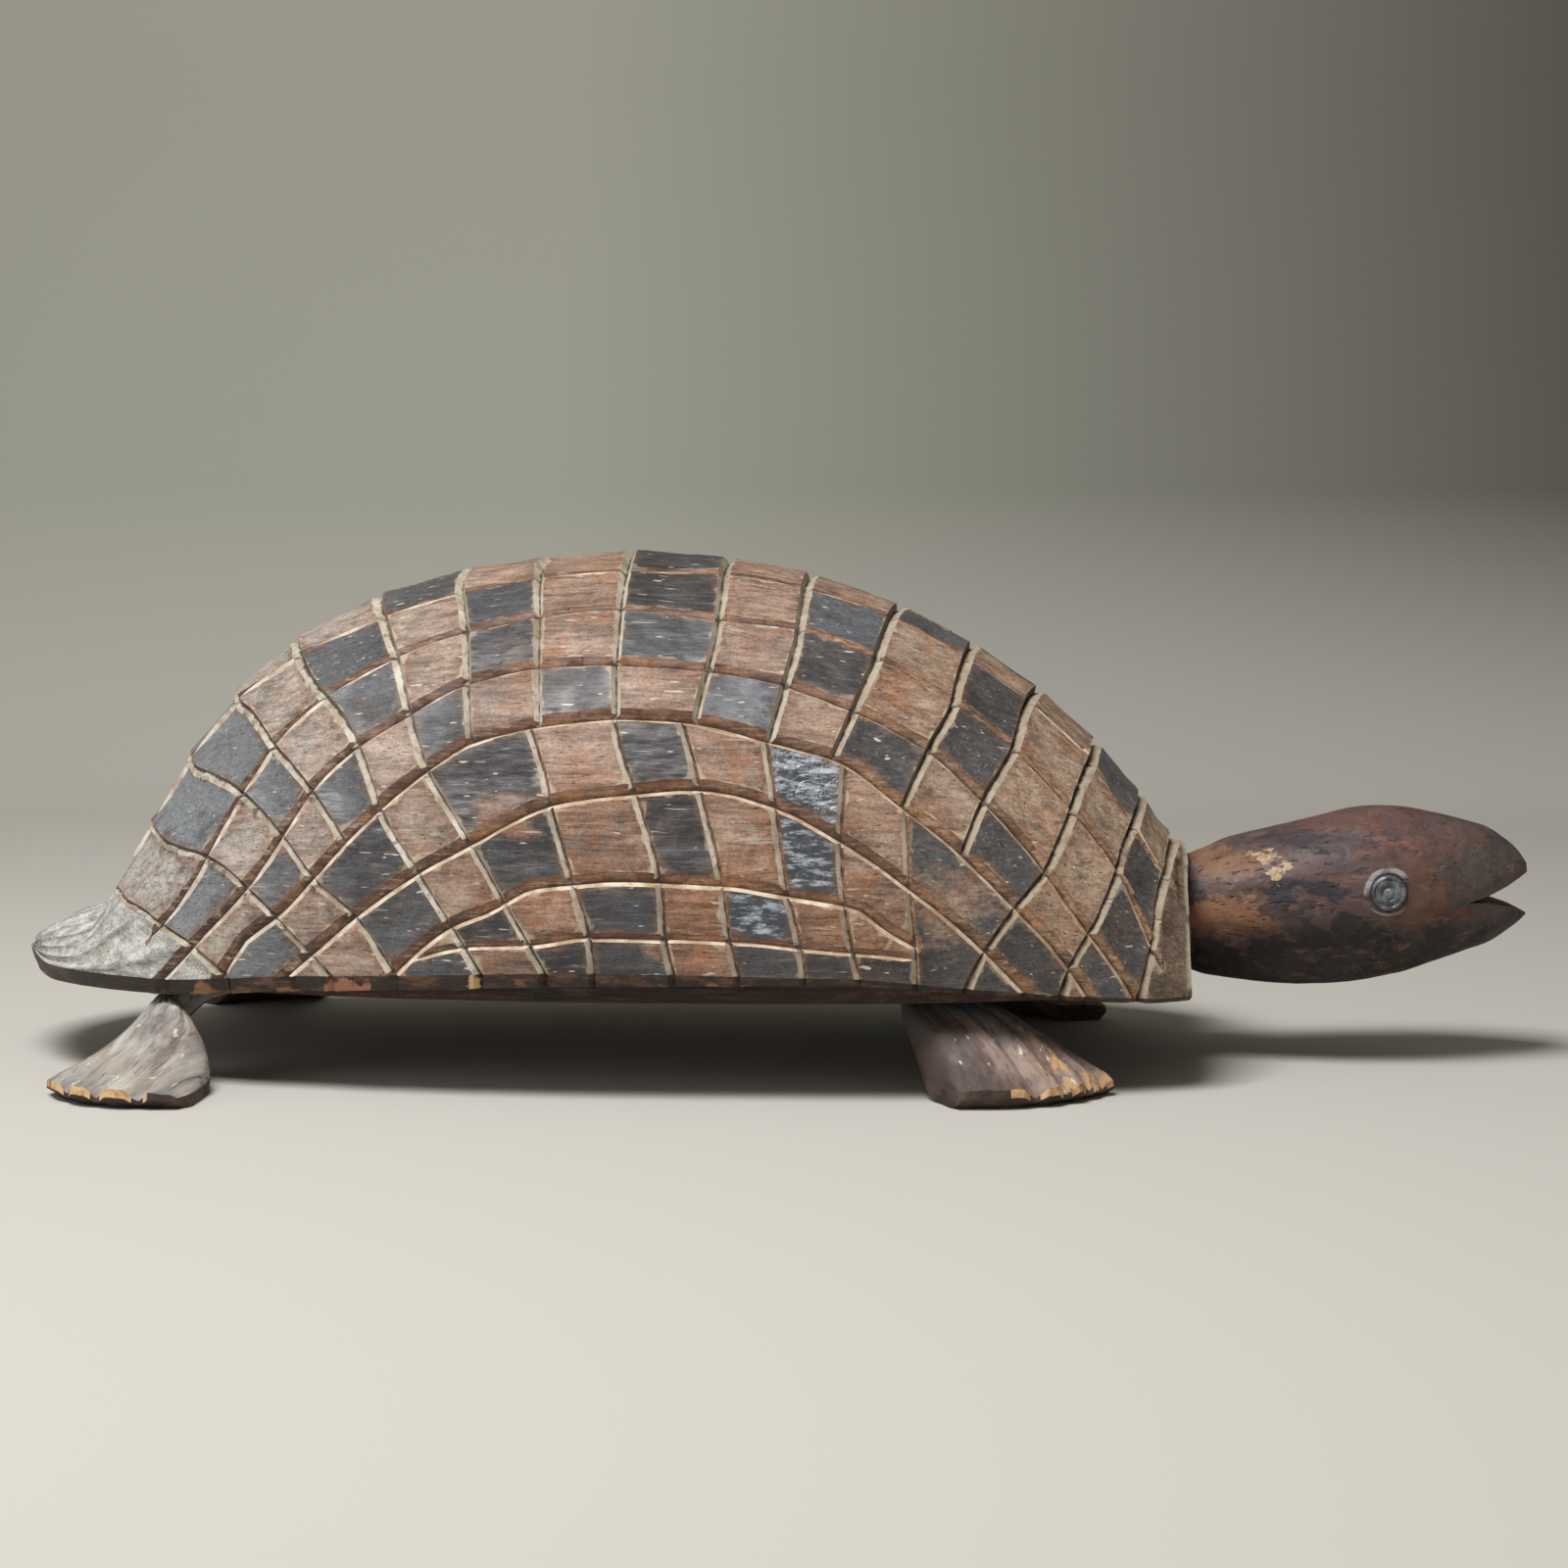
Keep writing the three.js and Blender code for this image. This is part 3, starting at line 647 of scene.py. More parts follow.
class Shade:
    """A material's node tree, with short calls for the patterns that wood needs."""

    def __init__(self, name, roughness=0.6):
        self.material = bpy.data.materials.new(name)
        self.material.use_nodes = True
        self.tree = self.material.node_tree
        self.shader = self.tree.nodes["Principled BSDF"]
        self.shader.inputs["Roughness"].default_value = roughness
        self.where = self.node("ShaderNodeTexCoord").outputs["Object"]

    def node(self, kind, settings=None, **inputs):
        made = self.tree.nodes.new(kind)
        for key, value in (settings or {}).items():
            setattr(made, key, value)
        for key, value in inputs.items():
            self.feed(made.inputs[key.replace("_", " ")], value)
        return made

    def feed(self, socket, value):
        if isinstance(value, bpy.types.NodeSocket):
            self.tree.links.new(value, socket)
        else:
            socket.default_value = value

    def stretch(self, x, y, z, turn=(0, 0, 0)):
        return self.node("ShaderNodeMapping", Vector=self.where, Scale=(x, y, z), Rotation=turn).outputs[0]

    def noise(self, scale, detail=3.0, vector=None, rough=0.55):
        made = self.node("ShaderNodeTexNoise", Vector=vector or self.where, Scale=scale, Detail=detail,
                         Roughness=rough)
        return made.outputs["Fac"]

    def streaks(self, detail, x, y, z, rough=0.55, turn=(0, 0, 0)):
        """Noise with its own scale along each axis."""
        return self.noise(1, detail, self.stretch(x, y, z, turn), rough)

    def patches(self, scale, detail, low, high, out_low=0.0, out_high=1.0, rough=0.55):
        """Even noise, cut to soft patches between two of its levels."""
        return self.ramp(self.noise(scale, detail, None, rough), low, high, out_low, out_high)

    def cracks(self, scale, vector=None):
        made = self.node("ShaderNodeTexVoronoi", {"feature": "DISTANCE_TO_EDGE"}, Vector=vector or self.where,
                         Scale=scale)
        return made.outputs["Distance"]

    def attribute(self, name):
        return self.node("ShaderNodeAttribute", {"attribute_name": name}).outputs["Fac"]

    def ramp(self, value, low, high, out_low=0.0, out_high=1.0):
        made = self.node("ShaderNodeMapRange", Value=value)
        for key, number in (("From Min", low), ("From Max", high), ("To Min", out_low), ("To Max", out_high)):
            made.inputs[key].default_value = number
        return made.outputs[0]

    def math(self, operation, a, b=0.0):
        made = self.node("ShaderNodeMath", {"operation": operation})
        self.feed(made.inputs[0], a)
        self.feed(made.inputs[1], b)
        return made.outputs[0]

    def times(self, a, b):
        return self.math("MULTIPLY", a, b)

    def plus(self, a, b):
        return self.math("ADD", a, b)

    def minus(self, a, b):
        return self.math("SUBTRACT", a, b)

    def axis(self, letter):
        return self.node("ShaderNodeSeparateXYZ", Vector=self.where).outputs["XYZ".index(letter)]

    def mix(self, amount, a, b, blend="MIX"):
        made = self.node("ShaderNodeMix", {"data_type": "RGBA", "blend_type": blend})
        self.feed(made.inputs[0], amount)
        self.feed(made.inputs[6], a)
        self.feed(made.inputs[7], b)
        return made.outputs[2]

    def bump(self, height, strength, distance):
        made = self.node("ShaderNodeBump", Strength=strength, Distance=distance, Height=height)
        self.feed(self.shader.inputs["Normal"], made.outputs[0])

    def finish(self, colour, roughness=None):
        self.feed(self.shader.inputs["Base Color"], colour)
        if roughness is not None:
            self.feed(self.shader.inputs["Roughness"], roughness)
        return self.material


def grain(s, colour, strength=0.35):
    """Fine streaks, grit and short dark pores along the length of the log."""
    streaks = s.streaks(4, 26, 330, 330, 0.7)
    colour = s.mix(s.ramp(streaks, 0.42, 0.66, 0, strength * 1.4), colour, srgb(96, 74, 62), "MULTIPLY")
    light = s.streaks(3, 44, 620, 620, 0.7)
    colour = s.mix(s.ramp(light, 0.52, 0.7, 0, strength * 0.8), colour, srgb(206, 190, 172))
    grit = s.patches(900, 2, 0.4, 0.6, 0.82, 1.12)
    grey = s.node("ShaderNodeCombineColor", Red=grit, Green=grit, Blue=grit).outputs[0]
    colour = s.mix(1.0, colour, grey, "MULTIPLY")
    pores = s.streaks(2, 200, 1300, 1300)
    return s.mix(s.ramp(pores, 0.62, 0.69, 0, 0.8), colour, srgb(52, 38, 32))


def scratches(s, colour, amount=0.5):
    """Thin straight pale scores and short nicks, at two slants."""
    scores = s.streaks(1, 34, 800, 800, turn=(0, 0.8, 0.3))
    colour = s.mix(s.ramp(scores, 0.71, 0.75, 0, amount * 0.6), colour, srgb(214, 204, 190))
    nicks = s.streaks(1, 120, 560, 560, turn=(0, -0.9, 0.2))
    return s.mix(s.ramp(nicks, 0.73, 0.76, 0, amount), colour, srgb(220, 212, 200))


def near_edge(s, low, high, noise_scale=150):
    """1 on the ragged border of a cell and 0 on its open face. The attribute is 1 on a groove's edge."""
    rag = s.ramp(s.noise(noise_scale, 3), 0.3, 0.7, -0.25, 0.25)
    return s.ramp(s.plus(s.attribute("edge"), rag), low, high)


def along_shell(s, start, end):
    """From 0 at one station of the shell to 1 at another."""
    return s.ramp(s.axis("X"), (TAIL_X + start) * MM, (TAIL_X + end) * MM)


def blob(s, centre, size, rough=0.55, scale=95, soft=0.09, vector=None):
    """1 inside a ragged spot, mirrored on both sides, and 0 outside. Sizes are in millimetres."""
    values = (s.axis("X"), s.math("ABSOLUTE", s.axis("Y")), s.axis("Z"))
    total = 0.0
    for value, middle, half in zip(values, centre, size):
        away = s.math("DIVIDE", s.minus(value, middle * MM), half * MM)
        total = s.plus(s.times(away, away), total)
    rag = s.ramp(s.noise(scale, 5, vector, 0.68), 0.3, 0.7, -rough, rough)
    return s.ramp(s.plus(s.math("SQRT", total), rag), 1 + soft, 1 - soft)


def tint(s, mask, amount, colour, new_colour):
    return s.mix(s.times(mask, amount), colour, new_colour)


def brown_colour(s):
    colour = s.mix(s.patches(30, 4, 0.36, 0.64), srgb(190, 158, 138), srgb(160, 122, 98))
    colour = tint(s, s.attribute("tone"), 0.4, colour, srgb(150, 124, 110))
    colour = tint(s, along_shell(s, 300, 400), 0.7, colour, srgb(190, 164, 138))
    low = s.times(s.ramp(s.axis("Z"), 0.125, 0.085), s.ramp(s.axis("X"), 0.1, 0.03))
    colour = tint(s, low, 0.8, colour, srgb(154, 110, 84))
    colour = tint(s, along_shell(s, 215, 70), 0.9, colour, srgb(190, 187, 179))
    soot = s.patches(42, 6, 0.49, 0.63, rough=0.72)
    colour = tint(s, soot, 0.65, colour, srgb(108, 94, 88))
    warm = s.patches(56, 5, 0.52, 0.63, rough=0.65)
    warm = s.times(warm, s.ramp(s.axis("X"), (TAIL_X + 110) * MM, (TAIL_X + 230) * MM, 0.25, 1))
    colour = tint(s, warm, 0.6, colour, srgb(172, 116, 80))
    bleached = s.patches(37, 6, 0.52, 0.64, rough=0.7)
    colour = tint(s, bleached, 0.45, colour, srgb(208, 190, 172))
    colour = tint(s, near_edge(s, 0.45, 0.95), 0.5, colour, srgb(142, 102, 80))
    return colour


def dark_colour(s):
    colour = s.mix(s.patches(26, 4, 0.35, 0.65), srgb(56, 52, 53), srgb(80, 78, 80))
    colour = tint(s, s.ramp(s.attribute("tone"), 0.5, 1), 0.5, colour, srgb(122, 128, 136))
    # Painted reflection: the dark stain turns pale blue-grey towards the tail end of the shell.
    colour = tint(s, along_shell(s, 190, 60), 0.85, colour, srgb(146, 150, 154))
    colour = tint(s, along_shell(s, 320, 420), 0.3, colour, srgb(112, 106, 100))
    middle = s.times(along_shell(s, 100, 160), along_shell(s, 310, 230))
    colour = tint(s, middle, 0.4, colour, srgb(46, 43, 44))
    # Painted sheen: pale blue-grey streaks over the dark stain.
    sheen = s.ramp(s.streaks(5, 40, 110, 110, 0.7), 0.5, 0.7)
    colour = tint(s, sheen, 0.2, colour, srgb(138, 143, 148))
    black = s.patches(60, 4, 0.52, 0.66, rough=0.65)
    colour = tint(s, black, 0.55, colour, srgb(52, 47, 46))
    worn = s.patches(34, 5, 0.56, 0.72, rough=0.65)
    return tint(s, worn, 0.45, colour, srgb(128, 104, 90))


def hand_cut_bump(s):
    """Broad shallow tool facets and fine grain along the log."""
    facets = s.streaks(2, 55, 95, 95)
    streaks = s.streaks(3, 120, 900, 900)
    s.bump(s.plus(s.times(facets, 5), s.times(streaks, 0.5)), 0.6, 0.0006)


def make_brown():
    s = Shade("shell_brown", 0.62)
    colour = grain(s, brown_colour(s), 0.4)
    colour = scratches(s, colour, 0.7)
    colour = tint(s, near_edge(s, 0.97, 1.1), 0.6, colour, srgb(208, 186, 160))
    hand_cut_bump(s)
    return s.finish(colour, s.ramp(s.noise(60), 0.3, 0.7, 0.5, 0.75))


# Centre and size of each place where the dark stain is rubbed off.
WORN_DARK = [[(-92, 80, 107), (15, 60, 9)], [(76, 80, 76), (17, 60, 13)], [(-30, 80, 62), (9, 60, 8)],
             [(22, 80, 188), (9, 40, 6)], [(-176, 80, 96), (8, 60, 7)]]


def make_dark():
    s = Shade("shell_dark", 0.48)
    colour = dark_colour(s)
    bare = brown_colour(s)
    for centre, size in WORN_DARK:
        mask = blob(s, centre, size, 0.6, 1, 0.3, s.stretch(45, 120, 120))
        colour = tint(s, mask, 0.85, colour, bare)
    colour = tint(s, near_edge(s, 0.75, 1.05, 110), 0.6, colour, srgb(120, 92, 76))
    colour = grain(s, colour, 0.18)
    colour = scratches(s, colour, 0.8)
    colour = tint(s, near_edge(s, 1.0, 1.12), 0.6, colour, srgb(178, 160, 140))
    hand_cut_bump(s)
    return s.finish(colour, s.ramp(s.noise(60), 0.3, 0.7, 0.36, 0.6))


def make_glossy():
    s = Shade("shell_glossy", 0.3)
    shards = s.cracks(230)
    # Painted highlights: pale glints streaked over the glossy stain in two directions, inside pale patches.
    pale = s.patches(45, 3, 0.3, 0.5, 0.35, 1)
    glints = s.ramp(s.streaks(4, 75, 330, 330, 0.75, (0, 1.0, 0.2)), 0.5, 0.6)
    crossing = s.ramp(s.streaks(4, 60, 280, 280, 0.75, (0, -0.5, 0)), 0.56, 0.66)
    glints = s.math("MAXIMUM", glints, crossing)
    colour = tint(s, s.times(pale, glints), 0.9, srgb(76, 78, 83), srgb(186, 192, 200))
    colour = s.mix(s.ramp(shards, 0.06, 0.0, 0, 0.5), colour, srgb(60, 58, 60))
    colour = tint(s, near_edge(s, 0.8, 1.05, 110), 0.6, colour, srgb(110, 88, 76))
    s.bump(s.plus(s.math("MINIMUM", shards, 0.2), s.noise(240, 3)), 0.8, 0.0008)
    return s.finish(colour, s.ramp(s.noise(150), 0.4, 0.6, 0.2, 0.45))


def make_tail():
    s = Shade("shell_tail", 0.6)
    streaks = s.streaks(4, 22, 190, 150, 0.65)
    colour = s.mix(s.ramp(streaks, 0.34, 0.66), srgb(226, 226, 220), srgb(192, 192, 188))
    colour = tint(s, s.patches(60, 5, 0.54, 0.68, rough=0.7), 0.4, colour, srgb(150, 122, 98))
    ridge = s.plus(s.attribute("tone"), s.patches(110, 3, 0.3, 0.7, -0.15, 0.15))
    colour = tint(s, s.ramp(ridge, 0.5, 0.15), 0.6, colour, srgb(128, 126, 124))
    colour = grain(s, colour, 0.4)
    colour = scratches(s, colour, 0.8)
    hand_cut_bump(s)
    return s.finish(colour)


def make_front_strip():
    s = Shade("shell_front_strip", 0.62)
    colour = s.mix(s.patches(50, 4, 0.38, 0.62), srgb(140, 120, 100), srgb(102, 86, 72))
    colour = grain(s, colour)
    worn = s.ramp(s.axis("X"), (FRONT_X - 2.6) * MM, (FRONT_X - 0.6) * MM)
    colour = tint(s, s.times(worn, s.patches(90, 3, 0.36, 0.5)), 0.9, colour, srgb(206, 194, 172))
    colour = tint(s, near_edge(s, 0.8, 1.05), 0.6, colour, srgb(196, 180, 156))
    hand_cut_bump(s)
    return s.finish(colour)


def painted_groove_shade(s, colour, dark, start=1.55, amount=0.85):
    """Painted shade along the bottom of a groove."""
    rag = s.patches(200, 3, 0.3, 0.7, -0.2, 0.2)
    return tint(s, s.ramp(s.plus(s.attribute("edge"), rag), start, start + 0.25), amount, colour, dark)


def make_arc_wall():
    s = Shade("arc_wall", 0.6)
    colour = s.mix(s.patches(55, 5, 0.4, 0.6, rough=0.65), srgb(112, 78, 60), srgb(166, 118, 84))
    colour = tint(s, along_shell(s, 320, 420), 0.65, colour, srgb(186, 148, 112))
    colour = tint(s, along_shell(s, 230, 90), 0.6, colour, srgb(92, 74, 64))
    colour = tint(s, s.patches(40, 4, 0.5, 0.64), 0.55, colour, srgb(78, 52, 40))
    colour = grain(s, colour, 0.5)
    # Painted shade: the wall darkens towards its upper edge, under the cell above it.
    shade = s.ramp(s.attribute("edge"), 1.4, 1.0)
    colour = tint(s, shade, 0.45, colour, srgb(64, 44, 36))
    # Painted shade along the groove's bottom.
    colour = painted_groove_shade(s, colour, srgb(58, 38, 30), 1.7)
    s.bump(s.streaks(3, 200, 900, 900), 0.6, 0.0004)
    return s.finish(colour)


def make_arc_lip():
    s = Shade("arc_lip", 0.6)
    # The lip is pale partly from wood dust and partly as a painted highlight where it faces up into the light.
    colour = s.mix(s.patches(90, 3, 0.4, 0.62), srgb(232, 214, 188), srgb(186, 156, 126))
    colour = tint(s, along_shell(s, 200, 60), 0.8, colour, srgb(226, 220, 210))
    colour = tint(s, s.patches(110, 5, 0.46, 0.6, rough=0.7), 0.7, colour, srgb(152, 120, 96))
    s.bump(s.noise(500, 2), 0.4, 0.0003)
    return s.finish(colour)


def make_spoke(name, shade_from, shade_to):
    """A cross groove's wall: pale wood dust, with painted shade between two stations of the shell where the
    wall faces away from the light.
    """
    s = Shade(name, 0.8)
    pale = s.mix(s.patches(70, 4, 0.36, 0.64), srgb(214, 206, 190), srgb(172, 158, 138))
    pale = s.mix(s.patches(520, 2, 0.66, 0.72, 0, 0.6), pale, srgb(92, 76, 62))
    pale = tint(s, along_shell(s, 230, 380), 0.7, pale, srgb(166, 148, 124))
    pale = tint(s, s.patches(260, 4, 0.5, 0.62, rough=0.7), 0.45, pale, srgb(132, 112, 92))
    # Painted shade: between the two given stations the wall is tinted dark, as the wall that faces away from
    # the light.
    painted_shade = s.mix(s.patches(120, 3, 0.4, 0.62), srgb(98, 82, 70), srgb(58, 46, 40))
    colour = tint(s, along_shell(s, shade_from, shade_to), 0.9, pale, painted_shade)
    colour = painted_groove_shade(s, colour, srgb(54, 42, 36), 1.72)
    s.bump(s.noise(420, 3), 0.35, 0.0004)
    return s.finish(colour)


def make_rim():
    s = Shade("rim_char", 0.62)
    colour = s.mix(s.ramp(s.streaks(4, 60, 60, 200, 0.7), 0.5, 0.62), srgb(44, 34, 29), srgb(100, 66, 46))
    colour = tint(s, s.ramp(s.streaks(3, 55, 55, 110), 0.64, 0.7), 0.5, colour, srgb(172, 124, 86))
    scrape = blob(s, (TAIL_X + 148, 105, 42), (9, 40, 3.4), 0.9, 190)
    colour = tint(s, scrape, 0.9, colour, srgb(164, 112, 82))
    chip = blob(s, (TAIL_X + 199, 115, 45), (2.3, 40, 4), 0.7, 230)
    colour = tint(s, chip, 0.9, colour, srgb(214, 180, 132))
    colour = tint(s, along_shell(s, 70, 20), 0.6, colour, srgb(70, 66, 62))
    s.bump(s.streaks(4, 150, 150, 500, 0.7), 0.9, 0.001)
    return s.finish(colour)


def make_front():
    s = Shade("front_face", 0.62)
    colour = s.mix(s.patches(40, 4, 0.4, 0.62), srgb(96, 74, 60), srgb(132, 106, 84))
    colour = grain(s, colour)
    s.bump(s.noise(200, 4), 0.6, 0.0008)
    return s.finish(colour)


def make_under():
    s = Shade("underside", 0.75)
    colour = s.mix(s.patches(30, 4, 0.4, 0.65), srgb(54, 36, 28), srgb(80, 54, 40))
    colour = grain(s, colour, 0.15)
    s.bump(s.streaks(4, 60, 400, 400), 0.6, 0.0008)
    return s.finish(colour)


# ---- Shell ----
def border(uv, axis, value, order):
    """Numbers of the points with this value on one axis, sorted along the other one: order is 1 or -1."""
    found = np.flatnonzero(np.abs(uv[:, axis] - value) < 1e-3)
    return found[np.argsort(order * uv[found, 1 - axis])]


def make_shell():
    uv, points, normal, faces, kinds, tone, edge = carve_shell()
    skin = Skin()
    skin.add(points, faces, kinds, tone, edge)
    right = border(uv, 1, V_END, -1)
    left = border(uv, 1, -V_END, 1)
    tail = border(uv, 0, 0, -1)
    front = border(uv, 0, U_END, 1)
    rim = np.concatenate([right, tail[1:-1], left])
    upper = points[rim]
    station = np.clip(upper[:, 0] - TAIL_X, 0, SHELL_LENGTH)
    foot_z = rim_bottom(station)
    rag = wobble(upper, 6, 4)
    middle = upper.copy()
    middle[:, 2] = foot_z + (upper[:, 2] - foot_z) * (0.5 + 0.12 * rag)
    middle += normal[rim] * [1, 1, 0] * (0.35 * rag - 0.5)[:, None]
    foot = upper.copy()
    foot[:, 2] = foot_z
    foot += normal[rim] * [1, 1, 0] * (0.5 * wobble(upper, 9, 8) - 1.2)[:, None]
    skin.strip(upper, middle, RIM)
    skin.strip(middle, foot, RIM)
    make_front_face(skin, points[front], middle, foot)
    make_underside(skin, foot)
    # The two numbers of each spoke wall are the stations over which its painted shade comes in.
    materials = [make_brown(), make_dark(), make_glossy(), make_tail(), make_front_strip(), make_arc_wall(),
                 make_arc_lip(), make_spoke("spoke_tail_wall", 270, 370),
                 make_spoke("spoke_head_wall", 215, 120), make_rim(), make_front(), make_under()]
    shell = skin.build("shell", materials)
    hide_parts("carapace")
    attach(shell, "body")
    return shell


class AcrossX:
    """Lays a patch flat along X: (y, z)."""

    def __init__(self, x):
        self.x = x

    def flat(self, point):
        return (point[1], point[2])

    def solid(self, pair):
        bump = 0.5 * noise.noise(Vector((pair[0], pair[1], 3)) / 14)
        return (self.x + bump - 0.3, pair[0], pair[1])


class AcrossZ:
    """Lays a patch flat along Z: (x, y), with a function for the height at each (x, y)."""

    def __init__(self, height):
        self.height = height

    def flat(self, point):
        return (point[0], point[1])

    def solid(self, pair):
        return (pair[0], pair[1], self.height(pair))


SOCKET_RADIUS = 14.4
SOCKET_Z = 59
SOCKET_DEPTH = 38


def full_turn(count):
    """Evenly spaced angles round a circle."""
    return [2 * math.pi * k / count for k in range(count)]


def circle_across_x(radius, x, z, count):
    """Points of an upright circle whose centre is on the middle plane."""
    return [(x, radius * math.cos(t), z + radius * math.sin(t)) for t in full_turn(count)]


def front_foot(foot):
    """Points along the lower edge of the front wall, from left to right."""
    left, right = foot[-1], foot[0]
    return [left + (right - left) * t for t in np.linspace(0, 1, 24)]


def make_front_face(skin, arch, middle, foot):
    """The blunt front wall with the neck's socket bored into it."""
    loop = [tuple(p) for p in (*arch, middle[0], *front_foot(foot)[::-1], middle[-1])]
    mouth_x = FRONT_X - 0.4
    bore = circle_across_x(SOCKET_RADIUS, mouth_x, SOCKET_Z, 48)
    socket = Vector((0, SOCKET_Z))
    arch_half, arch_foot, arch_rise = 74, 39, 44  # a plain arch just inside the wall's outline
    inner = []
    for spot in map(Vector, scattered(np.arange(-80, 81, 5), np.arange(36, 90, 5), 1)):
        limit = 1 - (spot.x / arch_half) ** 2
        top = arch_foot + arch_rise * math.sqrt(max(limit, 0))
        if spot.y < top - 2 and (spot - socket).length > SOCKET_RADIUS + 2 and limit > 0.05:
            inner.append(tuple(spot))

    def outside_bore(spot):
        return (spot - socket).length > SOCKET_RADIUS * 0.995

    skin.plate([loop, bore], inner, outside_bore, AcrossX(FRONT_X), FRONT)
    end = [(FRONT_X - SOCKET_DEPTH, y, z) for _, y, z in bore]
    skin.strip(bore, end, FRONT, closed=True)
    skin.fan(end, (FRONT_X - SOCKET_DEPTH, 0, SOCKET_Z), FRONT)


BOARD_REAR = TAIL_X + 57
BOARD_FRONT = FRONT_X - 45
BOARD_INSET = 12
BOARD_PLAY = 0.3


def board_outline(play=0.0):
    """The (x, y) outline of the board's recess, or of the board when play is taken off all round."""
    x = np.linspace(BOARD_REAR + play, BOARD_FRONT - play, 40)
    y = half_width(x - TAIL_X) - BOARD_INSET - play
    return [(a, -b) for a, b in zip(x, y)] + [(a, b) for a, b in zip(x[::-1], y[::-1])]


def inside_outline(outline, point):
    inside = False
    for (x1, y1), (x2, y2) in zip(outline, outline[1:] + outline[:1]):
        if (y1 > point.y) != (y2 > point.y) and point.x < (x2 - x1) * (point.y - y1) / (y2 - y1) + x1:
            inside = not inside
    return inside


def make_underside(skin, foot):
    """The shell's lower face round the belly board, the recess that holds it, and the hollow over it."""
    outline = board_outline()
    loop = [tuple(p) for p in (*foot, *front_foot(foot)[1:-1])]
    outer = [(p[0], p[1]) for p in loop]

    def height(pair):
        return float(rim_bottom(pair[0] - TAIL_X))

    def beside_board(spot):
        return inside_outline(outer, spot) and not inside_outline(outline, spot)

    inner = []
    grid = scattered(np.arange(TAIL_X + 6, FRONT_X, 7), np.arange(-110, 111, 7), 1.5)
    for spot in map(Vector, grid):
        if abs(spot.y) < float(half_width(spot.x - TAIL_X)) - 4 and not inside_outline(outline, spot):
            inner.append(tuple(spot))
    recess = [(x, y, height((x, y))) for x, y in outline]
    skin.plate([loop, recess], inner, beside_board, AcrossZ(height), UNDER)
    ceiling = [(x, y, BOARD_TOP_Z + BOARD_PLAY) for x, y in outline]
    skin.strip(recess, ceiling, UNDER, closed=True)
    make_hollow(skin, ceiling)


# ---- Hollow of the shell ----
CAVITY_INSET = 26
CAVITY_FOOT = BOARD_TOP_Z + 4
SHELL_WALL = 24


def cavity_ring(x, foot):
    """Half an arch of the hollow at x, from the right foot over the top to the left foot."""
    station = x - TAIL_X
    width = float(half_width(station)) - CAVITY_INSET
    rise = float(crest(station)) - SHELL_WALL - CAVITY_FOOT
    turns = np.linspace(-0.5, 0.5, 17) * math.pi
    arch = [(x, width * math.sin(t), CAVITY_FOOT + rise * math.cos(t)) for t in turns]
    return [(x, -width, foot), *arch, (x, width, foot)]


def make_hollow(skin, ceiling):
    """The ledge that the board meets and the hollow over it."""
    foot = BOARD_TOP_Z + BOARD_PLAY
    rings = [cavity_ring(x, foot) for x in np.linspace(BOARD_REAR + 9, BOARD_FRONT - 5, 19)]
    opening = [ring[0] for ring in rings] + [ring[-1] for ring in reversed(rings)]
    outer, inner = ([(p[0], p[1]) for p in loop] for loop in (ceiling, opening))

    def on_ledge(spot):
        return inside_outline(outer, spot) and not inside_outline(inner, spot)

    skin.plate([ceiling, opening], [], on_ledge, AcrossZ(lambda pair: foot), UNDER)
    for ring, after in zip(rings, rings[1:]):
        skin.strip(ring, after, UNDER)
    for ring in (rings[0], rings[-1]):
        skin.fan(ring, (ring[0][0], 0, CAVITY_FOOT + 20), UNDER)


# ---- Belly board and pegs ----
def dress(piece, node_names, body="body"):
    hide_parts(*node_names)
    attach(piece, body)


def make_board():
    """The board let into the shell's underside, with the shallow hollows that an adze leaves."""
    outline = board_outline(BOARD_PLAY)

    def adzed(pair):
        return BOARD_BOTTOM_Z + 0.4 + 0.4 * noise.noise(Vector((pair[0] / 30, pair[1] / 14, 0)))

    def on_board(spot):
        return inside_outline(outline, spot)

    inner = []
    grid = scattered(np.arange(BOARD_REAR + 5, BOARD_FRONT - 4, 6), np.arange(-105, 106, 6), 1)
    for spot in map(Vector, grid):
        if abs(spot.y) < float(half_width(spot.x - TAIL_X)) - BOARD_INSET - 3:
            inner.append(tuple(spot))
    skin = Skin()
    lower = [(x, y, BOARD_BOTTOM_Z + 0.8) for x, y in outline]
    upper = [(x, y, BOARD_TOP_Z) for x, y in outline]
    skin.plate([lower], inner, on_board, AcrossZ(adzed), 0)
    skin.strip(lower, upper, 0, closed=True)
    skin.fan(upper, (0.5 * (BOARD_REAR + BOARD_FRONT), 0, BOARD_TOP_Z), 0)
    board = skin.build("belly", [make_belly_wood()], 40)
    dress(board, ["belly_board"])


def make_belly_wood():
    s = Shade("belly_wood", 0.7)
    colour = s.mix(s.ramp(s.streaks(4, 8, 50, 50), 0.35, 0.65), srgb(46, 28, 22), srgb(82, 50, 36))
    colour = grain(s, colour, 0.15)
    s.bump(s.streaks(4, 40, 420, 420), 0.7, 0.0008)
    return s.finish(colour)


def make_peg_wood():
    s = Shade("peg_wood", 0.7)
    wave = s.node("ShaderNodeTexWave", {"wave_type": "RINGS", "rings_direction": "Z"}, Vector=s.where,
                  Scale=90, Distortion=3, Detail=2)
    rings = wave.outputs["Fac"]
    colour = s.mix(rings, srgb(122, 86, 58), srgb(150, 112, 78))
    colour = s.mix(s.patches(400, 3, 0.5, 0.65), colour, srgb(70, 46, 34))
    s.bump(s.noise(700, 2), 0.4, 0.0003)
    return s.finish(colour)


